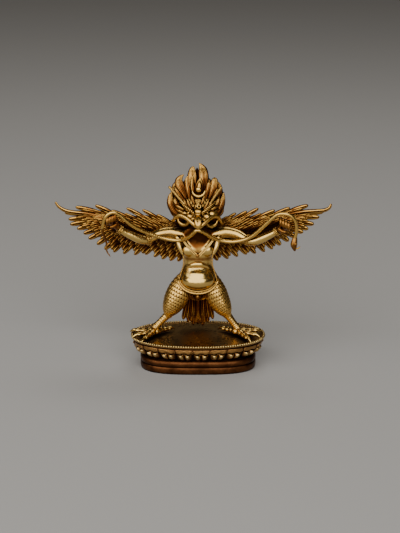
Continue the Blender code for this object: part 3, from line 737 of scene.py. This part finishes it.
def build_body():
    """Torso and arms run together, then the vest, beads and cords laid over them."""
    soft = Piece()
    sections = [
        (31.0, 3.2, 3.0, 2.4), (33.0, 6.0, 4.8, 3.6), (36.0, 7.8, 6.0, 5.6), (39.0, 8.5, 6.2, 7.6),
        (41.5, 8.5, 6.2, 8.5), (44.0, 7.8, 5.9, 7.9), (46.0, 6.9, 5.5, 6.6), (48.0, 6.4, 5.2, 5.2),
        (50.5, 6.4, 5.2, 4.8), (53.0, 7.0, 5.4, 4.9), (56.0, 7.9, 5.6, 4.7), (59.0, 8.5, 5.6, 4.1),
        (61.5, 8.0, 5.2, 3.4), (63.5, 6.0, 4.6, 2.9), (65.5, 4.6, 4.2, 2.6), (69.0, 4.2, 4.0, 3.0),
    ]
    around = 48
    angles = circle(around)
    rings = []
    for z, half, behind, before in spline(sections, 60):
        depth = np.where(np.sin(angles) > 0, behind, before)
        rings.append(np.column_stack([half * np.cos(angles), depth * np.sin(angles), np.full(around, z)]))
    skin(soft, np.array(rings))
    ball(soft, (0, -3.9, 40.9), (7.3, 5.4, 4.4), 32, 20)
    ball(soft, (0, -4.2, 43.4), (5.4, 4.0, 3.4), 32, 20)
    for side in (-1, 1):
        ball(soft, (side * 3.7, -2.5, 54.8), (3.9, 2.9, 3.2), 24, 14)
        shoulder = ((7.0, 0.8, 61.0, 3.0), (10, 0.6, 61.8, 2.7), (14, 0.2, 62.2, 2.3))
        rod(soft, sided(side, shoulder), 20, 12)
    for keys in ARMS:
        rod(soft, keys, 20, 60)
    rod(soft, [(0, 2.2, 62, 3.0), (0, 1.2, 66, 3.6), (0, -0.6, 70, 4.2)], 24, 10)
    points, quads = melt(soft, 0.34, 6)
    piece = Piece()
    x, y, z = points.T
    front = smoothstep(-0.5, -2.5, y)
    chest = smoothstep(-0.8, 1.0, z - 53.4 - 1.3 * np.abs(x)) * front
    waist = bump_at(z, 51.0, 1.3) * front
    upper_arm = smoothstep(6.0, 9.0, np.abs(x)) * smoothstep(20.0, 16.0, np.abs(x))
    # Painted shadow: the chest inside the V, darker towards the head above it, and a band under the breasts
    # are painted darker and less polished; the upper arms are painted a little darker and less polished.
    polish_and_sheen = 0.95 - 0.7 * chest - 0.3 * waist - 0.35 * upper_arm
    painted_shadow_and_dull = chest * (0.16 + 0.5 * smoothstep(54.5, 60.5, z)) + 0.32 * waist + 0.1 * upper_arm
    piece.add(points, [quads], polish_and_sheen, painted_shadow_and_dull)
    add_vest(piece)
    add_bangles(piece)
    place_figure(piece, "body")


def belt(piece, reach, low, drop, radius, string=False):
    """A cord that hangs in a curve under the belly and rises to a high line across the back."""
    front = []
    for turn in np.linspace(-1.45, 1.45, 13):
        height = low - 0.7 * (1 - math.cos(turn)) - drop * math.cos(turn)
        front.append((reach * math.sin(turn), -0.4 - 6.4 * math.cos(0.8 * turn), height, radius))
    rise = front[-1][2]
    right = [
        (reach * 0.94, 0.2, rise + 1.0, radius), (reach * 0.82, 2.9, rise + 2.2, radius),
        (reach * 0.52, 5.2, rise + 3.0, radius), (0, 6.2, rise + 3.3, radius),
    ]
    keys = sided(-1, right[::-1]) + front + right
    if string:
        beads(piece, [key[:3] for key in keys], radius, 0.3)
    else:
        rod(piece, keys, 8, 130, facing=UP, polish_and_sheen=0.4)


def add_vest(piece):
    """The edges of the vest, the midriff roll, the bead strings, the cords about the belly, and the
    short feathers that hang from them."""
    for side in (-1, 1):
        for shift in (0.0, 1.0):
            cord = (
                (6.9 + shift * 0.5, -0.6, 62.2, 0.34), (6.8 + shift * 0.5, -3.3, 60.6, 0.36),
                (5.0 + shift * 0.6, -4.5, 58.0, 0.36), (2.6 + shift * 0.7, -5.1, 55.6 - 0.3 * shift, 0.36),
                (0.4, -5.5, 53.4 - shift, 0.36),
            )
            rod(piece, sided(side, cord), 8, 30, polish_and_sheen=0.5)
        edge = (
            (8.8, 1.0, 61.6, 0.8), (9.1, -2.2, 60.9, 1.1), (8.7, -3.2, 58.6, 1.1),
            (8.0, -4.0, 56.0, 0.95), (7.0, -4.4, 53.6, 0.5),
        )
        rod(piece, sided(side, edge), 12, 26, flat=0.7, polish_and_sheen=0.8)
        string = (
            (6.9, -4.4, 54.6), (6.5, -4.0, 51.5), (6.5, -3.9, 48.4), (7.4, -4.0, 45.2),
            (8.3, -3.6, 42.0), (8.5, -3.2, 39.4),
        )
        beads(piece, sided(side, string), 0.36, 0.3)
    ball(piece, (-0.2, -5.8, 53.0), (0.8, 0.6, 0.8), 12, 8, polish_and_sheen=0.2, patina_and_shade=0.2)
    arch = [
        (-5.0, -3.4, 46.6, 0.6), (-2.9, -4.8, 48.2, 1.0), (0.1, -5.4, 48.9, 1.2), (2.9, -4.8, 48.1, 1.0),
        (4.9, -3.5, 46.3, 0.6),
    ]
    rod(piece, arch, 14, 30, flat=0.8, polish_and_sheen=0.9)
    belt(piece, 9.0, 42.2, 6.6, 0.42)
    belt(piece, 8.5, 42.0, 5.9, 0.34, string=True)
    belt(piece, 8.1, 42.0, 5.3, 0.32)
    for row, count in enumerate((9, 8, 7)):
        for k in range(count):
            across = 2 * k / (count - 1) - 1
            depth = -6.3 + 2.8 * across**2 + 0.2 * row
            top = np.array([across * (5.6 - row), depth, 37.0 + 1.4 * across**2 - 1.2 * row])
            down = np.array([across * 0.4, 1.5, -3.2 + 1.0 * across**2])
            keys = run_of(top, down, ((0, 0.6), (0.5, 0.85), (0.85, 0.6), (1, 0.1)))
            blade(piece, keys, 0.5, FRONT, barbs, 7, 12, polish_and_sheen=0.3, root=0.6)
    ball(piece, (-0.1, -5.9, 33.9), (0.8, 0.7, 1.0), 14, 10, polish_and_sheen=0.2, patina_and_shade=0.3)


def add_bangles(piece):
    """Bands at the elbow and the wrist."""
    bands = (
        ((-22.4, -3.2, 60.0), (-1, -0.5, -0.15), 2.2), ((-34.6, -7.6, 65.8), (-1, -0.35, 0.65), 1.6),
        ((22.2, -3.1, 59.6), (1, -0.5, -0.25), 2.2), ((34.8, -7.6, 64.8), (1, -0.35, 0.7), 1.6),
    )
    for centre, axis, radius in bands:
        axis = unit(np.array(axis))
        first = unit(np.cross(UP, axis))
        second = np.cross(axis, first)
        for shift in (-0.6, 0.6):
            hoop(piece, np.array(centre) + axis * shift, axis, radius, 0.34, polish_and_sheen=0.3)
        for turn in circle(16):
            spot = np.array(centre) + (first * math.cos(turn) + second * math.sin(turn)) * radius
            ball(piece, spot, 0.40, 8, 5, polish_and_sheen=0.3)


# Hands and snake


def build_hands():
    """Fists closed round the snake, with four fingers over it and the thumb below."""
    piece = Piece()
    for side, height, fall in ((-1, 70.2, 4.0), (1, 67.9, 2.9)):
        soft = Piece()
        centre = np.array([side * 38.0, -9.2, height])
        wrist = np.array([side * 35.0, -7.7, height - fall])
        rod(soft, [(*wrist, 1.35), (*(wrist * 0.5 + centre * 0.5), 1.7), (*centre, 1.9)], 16, 16)
        ball(soft, centre + np.array([side * 0.2, 0.3, 0.4]), (2.5, 1.5, 2.7), 20, 14)
        for k in range(4):
            knuckle = centre + np.array([side * (-1.7 + 1.2 * k), 0.4, 2.7 - 0.55 * k])
            rod(soft, moved(knuckle, sided(side, FINGER)), 12, 26, facing=SIDEWAYS)
        rod(soft, moved(centre, sided(side, THUMB)), 12, 20, facing=UP)
        points, quads = melt(soft, 0.2, 2)
        piece.add(points, [quads], 0.15, 0.3)
    place_figure(piece, "hands")


def build_snake():
    """A thin snake with faint belly rings, a tapering tail and a small flat head."""
    piece = Piece()

    def ribs(angle, share):
        return 0.03 * np.cos(share * 2 * np.pi * 180) * np.clip(1.2 - np.sin(angle), 0, 1)

    rod(piece, SNAKE_TAIL, 12, 60, polish_and_sheen=0.1, patina_and_shade=0.3)
    rod(piece, SNAKE, 12, 960, relief=ribs, polish_and_sheen=0.5, patina_and_shade=-0.45)
    rod(piece, SNAKE_HEAD, 16, 24, flat=0.8, polish_and_sheen=0.3, patina_and_shade=0.3)
    rod(piece, [(43.2, -10.6, 57.8, 0.35), (44.2, -10.7, 57.9, 0.3), (45.0, -10.7, 58.6, 0.25)], 8, 10)
    for side in (-1, 1):
        ball(piece, (42.4 + side * 0.8, -11.5, 60.2), 0.36, 10, 6)
    place_figure(piece, "snake")


# Legs


def scales(pitch, columns, height):
    """Relief of overlapping scales for a leg: rows down its length, columns around it."""

    def relief(angle, share, length):
        row = share * length / pitch
        number = np.floor(row)
        down = row - number
        column = angle / (2 * np.pi) * columns + 0.5 * (number % 2)
        across = 2 * (column - np.floor(column)) - 1
        edge = 1 - 0.55 * across**2
        swell = 0.25 + 0.75 * np.clip(down / edge, 0, 1)
        own = height * swell * (1 - 0.75 * np.abs(across) ** 5)
        fall = smoothstep(-0.06, 0.13, down - edge)
        return own * (1 - fall) - 0.35 * height * fall

    return relief


def scaled_rod(piece, keys, steps, around, relief):
    """A stretch of the leg under its scales."""
    length = run_length(spline(keys, steps)[:, :3])[-1]

    def own_relief(angle, share):
        return relief(angle, share, length)

    rod(piece, keys, around, steps, relief=own_relief, polish_and_sheen=0.45, patina_and_shade=-0.15)


def build_legs():
    """Scaled thighs and shanks on clawed feet, set wider on the right."""
    piece = Piece()
    left = [
        (-4.4, 0.2, 41.0, 3.6), (-6.4, 0.2, 38.6, 4.4), (-8.2, 0.1, 35.0, 5.2), (-10.1, 0.0, 31.0, 5.1),
        (-11.6, -0.2, 28.0, 4.4), (-12.8, -0.4, 25.6, 3.3), (-13.6, -0.5, 23.8, 1.9),
    ]
    right = [
        (4.4, 0.2, 41.0, 3.6), (6.0, 0.2, 38.6, 4.2), (7.5, 0.1, 35.0, 4.9), (9.2, 0.0, 31.0, 4.8),
        (10.8, -0.2, 28.0, 4.2), (12.2, -0.4, 25.6, 3.2), (13.2, -0.5, 23.8, 1.9),
    ]
    for side, thigh, ankle in ((-1, left, (-19.4, -1.0, 17.9)), (1, right, (17.9, -1.0, 17.3))):
        scaled_rod(piece, thigh, 150, 200, scales(1.35, 25, 0.34))
        hock = np.array(thigh[-1][:3])
        ankle = np.array(ankle)
        knee = hock + np.array([-side * 1.0, 0, 1.8])
        keys = [
            (*knee, 1.9), (*hock, 1.8), (*(hock * 0.6 + ankle * 0.4), 1.5),
            (*(hock * 0.25 + ankle * 0.75), 1.45), (*ankle, 1.75),
        ]
        scaled_rod(piece, keys, 90, 80, scales(0.9, 10, 0.14))
        add_foot(piece, side, ankle)
    place_figure(piece, "legs")


def add_foot(piece, side, ankle):
    """Long knuckled toes, each with a hooked claw."""

    def knuckles(angle, share):
        joints = 0.09 * np.cos(share * 2 * np.pi * 3.0)
        plates = 0.04 * np.cos(share * 2 * np.pi * 12) * np.clip(np.sin(angle) + 0.6, 0, 1)
        return joints + plates

    def keys_along(way, spots):
        return [(*(foot + way * t + UP * (radius + lift)), radius) for t, radius, lift in spots]

    sole = PLATE_HEIGHT + 0.3
    foot = np.array([ankle[0], ankle[1], sole])
    ball(piece, (ankle[0], ankle[1], sole + 1.8), (2.9, 2.8, 2.0), 24, 14, polish_and_sheen=0.4)
    for turn, length in ((-0.22, 10.6), (0.5, 10.4), (1.12, 12.0), (-2.52, 9.6)):
        way = np.array([side * math.cos(turn), -math.sin(turn), 0])
        toe, claw = keys_along(way * length, TOE), keys_along(way * length, CLAW)
        rod(piece, toe, 16, 60, facing=UP, relief=knuckles, polish_and_sheen=0.65, flat=0.8, patina_and_shade=-0.35)
        rod(piece, claw, 12, 18, facing=UP, polish_and_sheen=0.8)


# Wings and tail


def wing_spot(side, out, height, forward):
    back = WING_BACK + WING_SWEEP * (out / WING_TIP_SPREAD) ** 2
    return (side * out, back - forward, height)


def barbs(across, length):
    """Two low ridges along a feather, notched all the way by its barbs."""
    ridges = -0.12 * np.cos(2 * np.pi * across)
    notches = 0.022 * np.cos(2 * np.pi * (length / BARB_PITCH + 0.5 * np.abs(across)))
    return (ridges + notches) * (1 - across**2)


def feather(piece, side, root, tip, width, forward, start=0.0, facing=FRONT, both=False, thick=0.45,
            dark=0.5, patina_and_shade=0.16):
    """A blunt feather along the line from its root to its tip, bowed a little, and drawn from the
    share start of the way."""
    root, tip = np.array(root), np.array(tip)
    reach = np.linalg.norm(tip - root)
    bow = np.array([-(tip - root)[1], (tip - root)[0]]) * 0.05
    keys = []
    for t, share in ((0, 0.7), (0.3, 0.9), (0.65, 1.0), (0.85, 0.92), (0.96, 0.66), (1.0, 0.25)):
        along = start + (1 - start) * t
        out, height = root + (tip - root) * along + bow * math.sin(math.pi * along)
        keys.append((*wing_spot(side, out, height, forward * (1 - 0.35 * along)), width * share))
    steps = max(10, int(reach * (1 - start) / BARB_PITCH * 2.4))
    blade(piece, keys, thick, facing, barbs, 7, steps, both=both, polish_and_sheen=0.15, root=dark, patina_and_shade=patina_and_shade)


def between(pairs, spot):
    """The tip and root at a place between two of the pairs."""
    k = min(int(spot), len(pairs) - 2)
    t = spot - k
    first, second = np.array(pairs[k]), np.array(pairs[k + 1])
    return first * (1 - t) + second * t


def wobble(number):
    """A value from -1 to 1 that changes without a pattern from one number to the next."""
    return math.sin(number * 2.399 + math.sin(number * 5.13) * 1.7)


def build_wing(name, side, pairs, long_feather):
    """Three fans that share their roots: thin rods above, spikes at the tip, and short feathers in
    rows below. The back has the same outline, and two rows of coverts."""
    piece = Piece()
    last = len(pairs) - 1
    for number, (tip, root) in enumerate(pairs):
        width = 0.85 + 0.07 * number if number < UPPER_LAST else 1.3 if number <= FAN_LAST else 1.15
        feather(piece, side, root, tip, width, 0.0, both=True, thick=0.6, dark=0.8)
    for first, final, step, shift, share, width, forward, start, dark in WING_ROWS:
        final = last if final is None else final
        for spot in np.arange(first + shift, final + 0.01, step):
            number = spot * 7 + share * 50
            tip, root = between(pairs, spot)
            end = root + (tip - root) * share * (1 + 0.08 * wobble(number))
            half = width * (1 + 0.15 * wobble(number + 40))
            out = forward + 0.14 * wobble(number + 80)
            feather(piece, side, root, end, half, out, start, thick=0.55, dark=dark, patina_and_shade=0.26)
    for shift, share, back in ((0.5, 0.72, -0.55), (0.0, 0.45, -0.95)):
        for spot in np.arange(shift, last, 1.0):
            tip, root = between(pairs, spot)
            feather(piece, side, root, root + (tip - root) * share, 1.2, back, facing=BACK)
    # Painted shade: a thin sheet painted dark fills the gaps between the feathers.
    web = []
    for share in (-0.1, 0.2, 0.45, 0.7):
        spots = [between(pairs, spot) for spot in np.linspace(0, last, 60)]
        web.append([wing_spot(side, *(root + (tip - root) * share), 0.0) for tip, root in spots])
    web = np.array(web)
    thick = np.array([0, 0.3, 0])
    skin(piece, np.concatenate([web + thick, (web - thick)[::-1]]).transpose(1, 0, 2), patina_and_shade=1.0)
    keys = []
    for (out, height), half in zip(long_feather, (1.0, 1.25, 1.25, 1.05, 0.9, 0.7, 0.45)):
        keys.append((*wing_spot(side, out, height, 0.5), half))
    blade(piece, keys, 0.65, FRONT, barbs, 7, 70, both=True, polish_and_sheen=0.4, root=0.3)
    # The bone behind the feathers is painted dark, as shade.
    keys = [(*wing_spot(side, out, height, 0.6), radius) for out, height, radius in WING_BONE]
    rod(piece, keys, 16, 40, flat=0.5, patina_and_shade=0.85)
    bone_line = spline(WING_BONE, 40)
    for row, (rise, forward) in enumerate(((1.4, 1.5), (-0.2, 1.9), (-1.8, 2.0))):
        for k in range(1 + row, 37, 2):
            out, height = bone_line[k][0], bone_line[k][1] + rise
            tip = (out + 4.2, height + 1.6 - 1.3 * row)
            feather(piece, side, (out, height), tip, 0.75, forward, thick=0.5, dark=0.8, patina_and_shade=0.2)
    place_figure(piece, name)


def build_tail():
    """Long round-ended feathers, each with paired ridges, hung behind the legs."""
    piece = Piece()

    def ridges(across, length):
        return 0.24 * np.cos(across * np.pi * 2.5) * np.exp(-(across**2)) + 0.02 * np.sin(length * 5)

    for layer, count, spread, low in ((0, 7, 6.8, 15.4), (1, 6, 4.9, 16.2), (2, 3, 2.2, 17.8)):
        for k in range(count):
            across = 2 * k / (count - 1) - 1
            back = 9.2 - 0.9 * abs(across) - 0.8 * layer
            tip = np.array([across * spread, back, low + 3.0 * across**2 + 0.4 * wobble(k + 9 * layer)])
            root = np.array([across * 3.0, 4.4 - 0.5 * layer, 36.0])
            keys = []
            for t, half in ((0, 0.7), (0.3, 1.0), (0.7, 1.2), (0.92, 1.0), (1.0, 0.4)):
                spot = root + (tip - root) * t + np.array([0, 1.4 * math.sin(math.pi * t), 0])
                keys.append((*spot, half))
            blade(piece, keys, 0.6, FRONT, ridges, 13, 46, both=True, polish_and_sheen=0.1, root=0.4, patina_and_shade=0.1)
    # The rump is painted dark, as shade under the tail feathers.
    rump = [(0, 2.6, 37.0, 3.4), (0, 3.8, 35.0, 2.8), (0, 5.0, 32.8, 1.6)]
    rod(piece, rump, 20, 14, SIDEWAYS, patina_and_shade=0.5)
    for row, count in enumerate((6, 5, 4)):
        for across in np.linspace(-1, 1, count):
            top = np.array([across * (3.2 - 0.4 * row), 6.3 - 1.6 * across**2, 34.6 + 1.7 * row])
            drop = np.array([across * 0.9, 1.6 - 0.5 * row, -6.0 + across**2])
            keys = run_of(top, drop, ((0, 0.7), (0.4, 1.0), (0.8, 0.9), (1.0, 0.3)))
            blade(piece, keys, 0.5, BACK, barbs, 7, 16, polish_and_sheen=0.1, root=0.5, patina_and_shade=0.1)
    place_figure(piece, "tail")


# Head


def strands(count, height):
    """Combed hair: narrow grooves that run the length of a lock and wander a little."""

    def relief(across, length):
        turn = across * count * np.pi / 2 + 0.5 * np.sin(length * 0.8)
        grooves = -height * (1 - np.abs(np.sin(turn))) ** 1.4
        return grooves + 0.2 * height * np.cos(across * np.pi * 1.4 + 0.2 * length)

    return relief


def strand_twist(angle, share):
    """A brow's hair, twisted like a rope."""
    return 0.08 * np.cos(share * 2 * np.pi * 9 + angle * 2)


def curl(piece, centre, size, side):
    """A comma of hair: a bar that winds in on itself."""
    centre = np.asarray(centre, float)
    out = unit(np.array([side * 0.35, -1.0, 0.35]))
    across = unit(np.cross(UP, out)) * side
    rise = np.cross(out, across) * side
    keys = []
    for t in np.linspace(0, 1, 9):
        angle = math.pi * (0.6 - 2 * CURL_TURNS * t)
        reach = size * (1 - 0.62 * t)
        spot = centre + reach * (math.cos(angle) * across + math.sin(angle) * rise) + out * 0.35 * size * t
        keys.append((*spot, size * (0.42 - 0.16 * t)))
    rod(piece, keys, 8, 26, facing=out, polish_and_sheen=0.35, patina_and_shade=0.05)


def lock(piece, keys, thick=0.95, count=6, facing=FRONT, both=False, dark=0.45):
    """A lock of hair, combed into count strands."""
    relief = strands(count, 0.2)
    blade(piece, keys, thick, facing, relief, 5 * count + 3, 30, both, polish_and_sheen=0.3, root=dark, patina_and_shade=0.06)


def build_head():
    """Skull, cheeks, beak and lips run together, balls painted dark as shade behind them, then eyes,
    horns, crescent and hair laid over."""
    piece = Piece()
    soft = Piece()
    ball(soft, (0, -0.8, 74.2), (7.6, 6.0, 6.6), 32, 20)
    ball(soft, (0, -5.0, 77.6), (5.2, 3.4, 3.0), 24, 14)
    ball(soft, (0, -6.4, 71.6), (3.4, 3.4, 2.8), 24, 14)
    ball(soft, (0, -7.6, 68.6), (3.2, 2.8, 1.5), 24, 14)
    ball(soft, (0.1, -7.8, 74.0), (2.3, 1.9, 1.7), 24, 14)
    for side in (-1, 1):
        ball(soft, (side * 5.6, -4.9, 72.4), (3.5, 2.9, 2.3), 20, 12)
        ball(soft, (side * 3.6, -7.2, 72.0), (2.2, 2.0, 1.5), 20, 12)
        ball(soft, (side * 2.1, -9.2, 71.2), (1.1, 1.2, 0.9), 14, 10)
    for keys in LIPS:
        rod(soft, keys, 14, 40, facing=UP)
    add_beak(soft)
    points, quads = melt(soft, 0.24, 3)
    piece.add(points, [quads], 0.35, 0.08)
    # Painted shade: dark balls fill the mouth and the throat, and the holes at the mouth's corners.
    for centre, radii in MOUTH_SHADOW_BALLS:
        ball(piece, centre, radii, 32, 18, patina_and_shade=0.9)
    for side in (-1, 1):
        ball(piece, (side * 6.9, -4.2, 69.4), (2.5, 2.0, 2.2), 20, 12, patina_and_shade=0.9)
    add_face(piece)
    add_crown(piece)
    for number, keys in enumerate(HAIR):
        widest = max(key[3] for key in keys)
        # Each lock is painted darker where it grows from, as shade; the lock behind the jewel much more.
        dark = 0.9 if number == FLAME_LOCK else 0.45
        lock(piece, keys, count=max(3, int(widest * 3.4)), both=number < CREST_LOCKS, dark=dark)
    # A thin blade painted dark, as the shade in the cleft between the crest locks.
    slit = [(0.1, -1.4, 82, 1.6), (-0.2, -1.0, 88, 1.2), (-0.35, -0.9, 91.0, 0.7), (-0.4, -0.9, 92.2, 0.2)]
    blade(piece, slit, 0.5, FRONT, strands(3, 0.1), 11, 30, both=True, patina_and_shade=0.7)
    add_back_hair(piece)
    place_figure(piece, "head")


def add_beak(piece):
    """The hooked upper beak, with a ridge to either side of a shallow valley."""
    core = [
        (0.2, -8.2, 72.2, 1.2), (0.1, -10.0, 71.2, 1.45), (0.0, -11.2, 69.9, 1.25),
        (0.0, -11.8, 68.7, 0.95), (0.0, -11.9, 67.6, 0.6),
    ]
    rod(piece, core, 20, 30, facing=SIDEWAYS)
    for side, reach in ((-1, 0.8), (1, 1.0)):
        ridge = (
            (reach * 0.7, -9.2, 72.5, 0.5), (reach, -10.8, 71.5, 0.85), (reach * 0.9, -12.0, 70.2, 0.85),
            (reach * 0.6, -12.6, 69.0, 0.7), (0.1, -12.6, 67.7, 0.55),
        )
        rod(piece, sided(side, ridge), 14, 30, facing=SIDEWAYS)


def forehead_curls(piece):
    """Rows of curls over the forehead, wider towards the hair, about the mark between the brows."""
    mark_x, mark_z = BROW_MARK[0], BROW_MARK[2]
    for row, height in enumerate(FOREHEAD_ROWS):
        half = 1.6 + 1.0 * row
        for x in np.linspace(-half, half, row + 4):
            off_mark = abs(x - mark_x) > 1.0 or abs(height - mark_z) > 0.8
            bulge = 1 - (x / 5.2) ** 2 - ((height - 77.6) / 3.0) ** 2
            if off_mark and bulge > 0.02:
                curl(piece, (x, -5.0 - 3.4 * math.sqrt(bulge) - 0.1, height), 0.62, 1 if x > 0 else -1)


def add_face(piece):
    """Eyes with dark pupils, lids, V-shaped brows, the curls and locks above them, and nostrils: small
    balls painted dark as the shade of holes.
    """
    upper_lid = (
        (2.0, -9.2, 72.9, 0.26), (3.2, -9.0, 74.3, 0.34), (4.9, -7.8, 74.7, 0.34), (6.5, -6.4, 75.1, 0.2),
    )
    lower_lid = ((2.4, -9.0, 72.6, 0.24), (3.8, -8.6, 72.6, 0.3), (5.3, -7.4, 73.5, 0.24))
    brow = (
        (7.6, -6.2, 78.0, 0.4), (5.8, -7.8, 76.7, 0.75), (4.0, -9.0, 75.5, 0.8), (2.0, -9.8, 74.0, 0.55),
    )
    for side in (-1, 1):
        ball(piece, (side * 3.8, -8.0, 73.6), (1.05, 0.8, 0.75), 16, 10, polish_and_sheen=0.6)
        ball(piece, (side * 3.7, -8.7, 73.5), (0.4, 0.2, 0.4), 10, 6, patina_and_shade=1.0)
        # Nostrils: small balls painted dark as the shade of holes.
        ball(piece, (side * 2.2, -10.25, 71.2), (0.3, 0.2, 0.25), 8, 6, patina_and_shade=1.0)
        rod(piece, sided(side, upper_lid), 8, 20, polish_and_sheen=0.3)
        rod(piece, sided(side, lower_lid), 8, 16, polish_and_sheen=0.3)
        rod(piece, sided(side, brow), 12, 60, relief=strand_twist, polish_and_sheen=0.3, facing=UP)
        for keys in BROW_LOCKS:
            lock(piece, sided(side, keys), 0.6, 3, dark=0.2)
    forehead_curls(piece)
    for keys in CHEEK_HAIR:
        blade(piece, keys, 0.6, FRONT, strands(2, 0.1), 11, 24, polish_and_sheen=0.2, root=0.3)
    hoop(piece, BROW_MARK, (0, -1, 0.3), 0.72, 0.26, 20, 8, polish_and_sheen=0.4)
    ball(piece, BROW_MARK, 0.26, 8, 6, polish_and_sheen=0.2, patina_and_shade=0.5)


def add_crown(piece):
    """Ribbed horns, and the crescent with its jewel and flame."""

    def ribs(angle, share):
        return 0.05 * np.cos(share * 2 * np.pi * 20) + 0 * angle

    left = [(-6.2, -7.2, 77.6, 0.62), (-9.4, -6.2, 81.0, 0.62), (-12.5, -5.0, 84.4, 0.58)]
    right = [(5.4, -7.2, 77.6, 0.62), (7.7, -6.2, 80.9, 0.62), (10.2, -5.0, 84.1, 0.6)]
    for keys in (left, right):
        rod(piece, keys, 14, 110, relief=ribs, polish_and_sheen=0.5, patina_and_shade=-0.4)
    moon = []
    for a in np.linspace(-1.45, 1.45, 11):
        moon.append((0.3 + 2.8 * math.sin(a), -7.2, 83.5 - 2.7 * math.cos(a), 0.72 * math.cos(a * 0.75)))
    rod(piece, moon, 12, 40, polish_and_sheen=0.6)
    ball(piece, (0.3, -6.7, 83.7), (1.3, 0.9, 1.3), 18, 12, polish_and_sheen=0.5)
    flame = [(0.5, -6.4, 84.4, 1.2), (0.7, -6.0, 86.0, 1.0), (0.8, -5.6, 87.6, 0.1)]
    blade(piece, flame, 0.7, FRONT, strands(3, 0.12), 15, 20, polish_and_sheen=0.2)


def add_back_hair(piece):
    """Combed locks that close the back of the head and meet the flames at the top, and balls painted
    dark as shade in the gaps behind them.
    """
    for k in range(9):
        spread = (k - 4) / 4
        keys = [
            (spread * 4.6, 2.6, 66.0, 1.5), (spread * 8.2, 4.4, 72.0, 2.0), (spread * 9.4, 3.6, 79.0, 2.0),
            (spread * 7.6, 1.8, 85.0 - 2 * spread**2, 1.5), (spread * 5.0, 0.4, 91.0 - 5 * spread**2, 0.2),
        ]
        lock(piece, keys, 1.2, 6, BACK)
    # Painted shade: dark balls behind the locks.
    ball(piece, (0, 0.4, 80.0), (6.4, 2.6, 7.4), 24, 14, patina_and_shade=0.7)
    ball(piece, (0, -0.4, 74.0), (9.6, 3.4, 6.0), 24, 14, patina_and_shade=0.7)
    ball(piece, (0, -1.8, 82.0), (7.6, 1.6, 5.6), 24, 14, patina_and_shade=0.7)


# Studio


def build_studio():
    """The floor, the soft panels and the dim room around them."""
    floor = bpy.data.meshes.new("floor")
    corners = [(x * FLOOR_REACH, y * FLOOR_REACH, 0) for x, y in ((-1, -1), (1, -1), (1, 1), (-1, 1))]
    floor.from_pydata(corners, [], [(0, 1, 2, 3)])
    floor.materials.append(plaster("pale_floor", FLOOR_COLOUR))
    ground = bpy.data.objects.new("floor", floor)
    bpy.context.scene.collection.objects.link(ground)
    for name, spot, size, power in LIGHTS:
        data = bpy.data.lights.new(name, "AREA")
        data.shape = "RECTANGLE"
        data.size, data.size_y = size
        data.energy = power
        lamp = bpy.data.objects.new(name, data)
        bpy.context.scene.collection.objects.link(lamp)
        lamp.location = spot
        aim_at(lamp, LIT_SPOT)
    world = bpy.data.worlds.new("studio")
    world.use_nodes = True
    room = world.node_tree.nodes["Background"].inputs
    room["Color"].default_value = (*ROOM_COLOUR, 1)
    room["Strength"].default_value = ROOM_LIGHT
    bpy.context.scene.world = world


def aim_at(obj, target):
    obj.rotation_euler = (Vector(target) - obj.location).to_track_quat("-Z", "Y").to_euler()


def build_camera():
    """A long lens at the photograph's height and scale."""
    data = bpy.data.cameras.new("camera")
    camera = bpy.data.objects.new("camera", data)
    bpy.context.scene.collection.objects.link(camera)
    data.sensor_fit = "HORIZONTAL"
    data.sensor_width = 36.0
    data.lens = data.sensor_width * CAMERA_DISTANCE / (PICTURE_WIDTH_PX * MM_PER_PX * MM)
    data.clip_start = 0.01
    lift = math.radians(CAMERA_LIFT_DEG)
    aim = [v * MM for v in AIM]
    before, above = CAMERA_DISTANCE * math.cos(lift), CAMERA_DISTANCE * math.sin(lift)
    camera.location = (aim[0], aim[1] - before, aim[2] + above)
    aim_at(camera, aim)
    bpy.context.scene.camera = camera


build_camera()
build_studio()
build_plinth()
build_body()
build_hands()
build_snake()
build_legs()
build_wing("left_wing", -1, LEFT_WING, LEFT_LONG_FEATHER)
build_wing("right_wing", 1, RIGHT_WING, RIGHT_LONG_FEATHER)
build_tail()
build_head()
